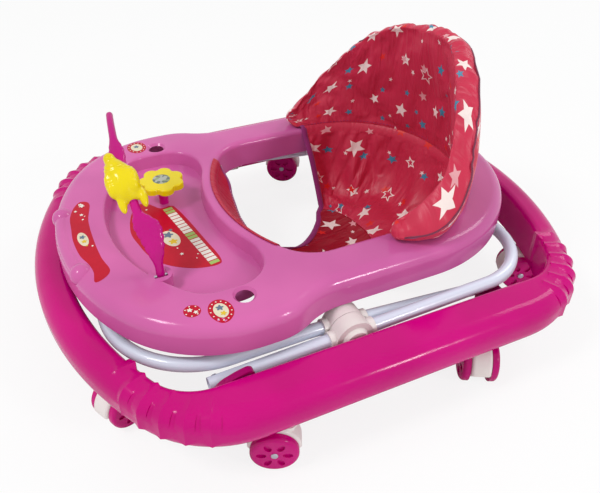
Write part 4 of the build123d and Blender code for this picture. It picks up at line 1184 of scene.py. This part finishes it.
def flowerLoops(rows, depth):
    return [ovalLoop(x, y, radius, radius, turn, 5, depth) for x, y, radius, turn in rows]


def corners(loop):
    return [[pick(p[k] for p in loop) for k in (0, 1)] for pick in (min, max)]


def inLoop(x, y, loop):
    inside = False
    for a, b in zip(loop, loop[1:] + loop[:1]):
        if (a.y > y) != (b.y > y) and x < a.x + (y - a.y) / (b.y - a.y) * (b.x - a.x):
            inside = not inside
    return inside


trayMesh = nodes["tray_top"].data
traySurface = BVHTree.FromPolygons([v.co for v in trayMesh.vertices],
                                   [p.vertices for p in trayMesh.polygons])


def film(name, loops, layer, ink, grid=4.0):
    # flat shapes laid onto the tray's surface, each layer a hair above the last
    vertices, faces = [], []
    for loop in loops:
        low, high = corners(loop)
        points = list(loop)
        y = low[1] + grid / 2
        while y < high[1]:
            x = low[0] + grid / 2
            while x < high[0]:
                near = min((Vector((x, y)) - p).length for p in loop)
                if near > grid * 0.3 and inLoop(x, y, loop):
                    points.append(Vector((x, y)))
                x += grid
            y += grid
        ring = [(i, (i + 1) % len(loop)) for i in range(len(loop))]
        made = delaunay_2d_cdt(points, ring, [], 1, 1e-4)
        start = len(vertices)
        for x, y in made[0]:
            above = Vector((x / 1000, y / 1000, 0.4))
            hit, normal, index, far = traySurface.ray_cast(above, Vector((0, 0, -1)))
            vertices.append(hit + normal * labels["lift"] * layer)
        faces += [tuple(start + k for k in face) for face in made[2]]
    piece = meshObject(name, vertices, faces, inks[ink])
    shape = bmesh.new()
    shape.from_mesh(piece.data)
    for face in shape.faces:
        if face.normal.z < 0:
            face.normal_flip()
    shape.to_mesh(piece.data)
    shape.free()
    fasten(piece, "tray", "insert_print")


def makeLabels():
    luck = random.Random(7)
    front, recess = smoothLoop(labels["front"]), smoothLoop(labels["recess"])
    ovals = [ovalLoop(*place) for place in labels["round"]]
    film("labelBase", [front, recess, *ovals], 1, "red")
    a, b = Vector(labels["keysFrom"]), Vector(labels["keysTo"])
    run = (b - a) / labels["keyCount"]
    side = Vector((run.y, -run.x)).normalized() * labels["keyLength"]
    keys, ends = [], []
    for k in range(labels["keyCount"]):
        start = a + run * (k + 0.1)
        key = [start, start + run * 0.8, start + run * 0.8 + side, start + side]
        (ends if k in labels["greenKeys"] else keys).append(key)
    film("labelKeys", keys, 2, "white", 20)
    film("labelKeyEnds", ends, 2, "green", 20)
    panels = [ovalLoop(*place) for place in labels["panels"]]
    film("labelPanels", panels, 2, "pale")
    dots, flowers, blue, yellow = [], [], [], []
    for loop, amount in ((front, 26), (recess, 34)):
        low, high = corners(loop)
        for attempt in range(amount):
            x, y = luck.uniform(low[0], high[0]), luck.uniform(low[1], high[1])
            clear = all(inLoop(x + dx, y + dy, loop) for dx, dy in ((3, 0), (-3, 0), (0, 3), (0, -3)))
            onKeys = loop is recess and abs((Vector((x, y)) - a).dot(side.normalized()) - 6) < 9
            onPanel = any(inLoop(x, y, panel) for panel in panels)
            if not clear or onKeys or onPanel:
                continue
            kind = luck.random()
            size = luck.uniform(0.7, 1.5)
            if kind < 0.62:
                dots.append(ovalLoop(x, y, size, size * 0.8, luck.uniform(0, 3)))
            elif kind < 0.82:
                flowers.append(ovalLoop(x, y, size * 1.9, size * 1.9, luck.uniform(0, 3), 5, 0.3))
            else:
                (blue if kind < 0.9 else yellow).append(ovalLoop(x, y, size * 1.5, size * 1.5, 0, 5, 0.25))
    for x, y, halfX, halfY in labels["round"]:
        count = 7 if halfX < 12 else 13
        for k in range(count):
            turn = 2 * math.pi * k / count + x
            dots.append(ovalLoop(x + halfX * 0.82 * math.cos(turn),
                                 y + halfY * 0.82 * math.sin(turn), 0.8, 0.8))
    flowers += flowerLoops(labels["whiteFlowers"], 0.3)
    film("labelDots", dots, 2, "white", 20)
    film("labelFlowers", flowers, 3, "white", 20)
    film("labelBlue", blue + flowerLoops(labels["blueFlowers"], 0.28), 3, "blue", 20)
    film("labelYellow", yellow + flowerLoops(labels["yellowFlowers"], 0.28), 3, "yellow", 20)


makeLabels()
print("labels printed")

# plain CAD pieces with their finishes

plainNodes = {
    "lower_frame_tube": ("lower_frame", framePaint),
    "upper_frame_tube": ("upper_frame", framePaint),
    "lower_frame_clamps": ("lower_frame", creamPlastic),
    "upper_frame_clamps": ("upper_frame", creamPlastic),
    "hinge_sockets": ("base", socketPlastic),
    "slide_guides": ("base", socketPlastic),
    "caster_bushes": ("base", creamPlastic),
    "lower_hinge_pins": ("lower_frame", steel),
    "upper_slide_pins": ("upper_frame", steel),
    "cross_rivets": ("upper_frame", steel),
    "base_ring": ("base", ringPlastic),
    "tray_top": ("tray", trayPlastic),
    "tray_saddle_clips": ("tray", creamPlastic),
    "tray_front_rails": ("tray", trayPlastic),
    "dial_post": ("tray", barPlastic),
    "toy_bar_pin": ("tray", steel),
    "flower_dial": ("dial", yellowPlastic),
    "dial_insert": ("dial", dialCard),
}
casterFinish = {"hood": creamPlastic, "stem": steel, "axle": steel, "wheels": wheelPlastic}
bodyOf = {n: body for body, members in frame["record"]["behaviour"]["bodies"].items() for n in members}
slotOf = {part["node"]: part["material_slot"] for part in frame["record"]["subparts"]}
for name in sorted(nodes):
    if name in ("seat_sling", "back_pad", "toy_bar", "toy_animal"):
        continue
    if name in plainNodes:
        body, material = plainNodes[name]
    elif name.startswith("caster_"):
        body, material = bodyOf[name], casterFinish[name.rsplit("_", 1)[1]]
    else:
        body, material = bodyOf[name], creamPlastic
    smoothCopy(name, "fine_" + name, body, material, slotOf[name])
print("CAD pieces dressed")
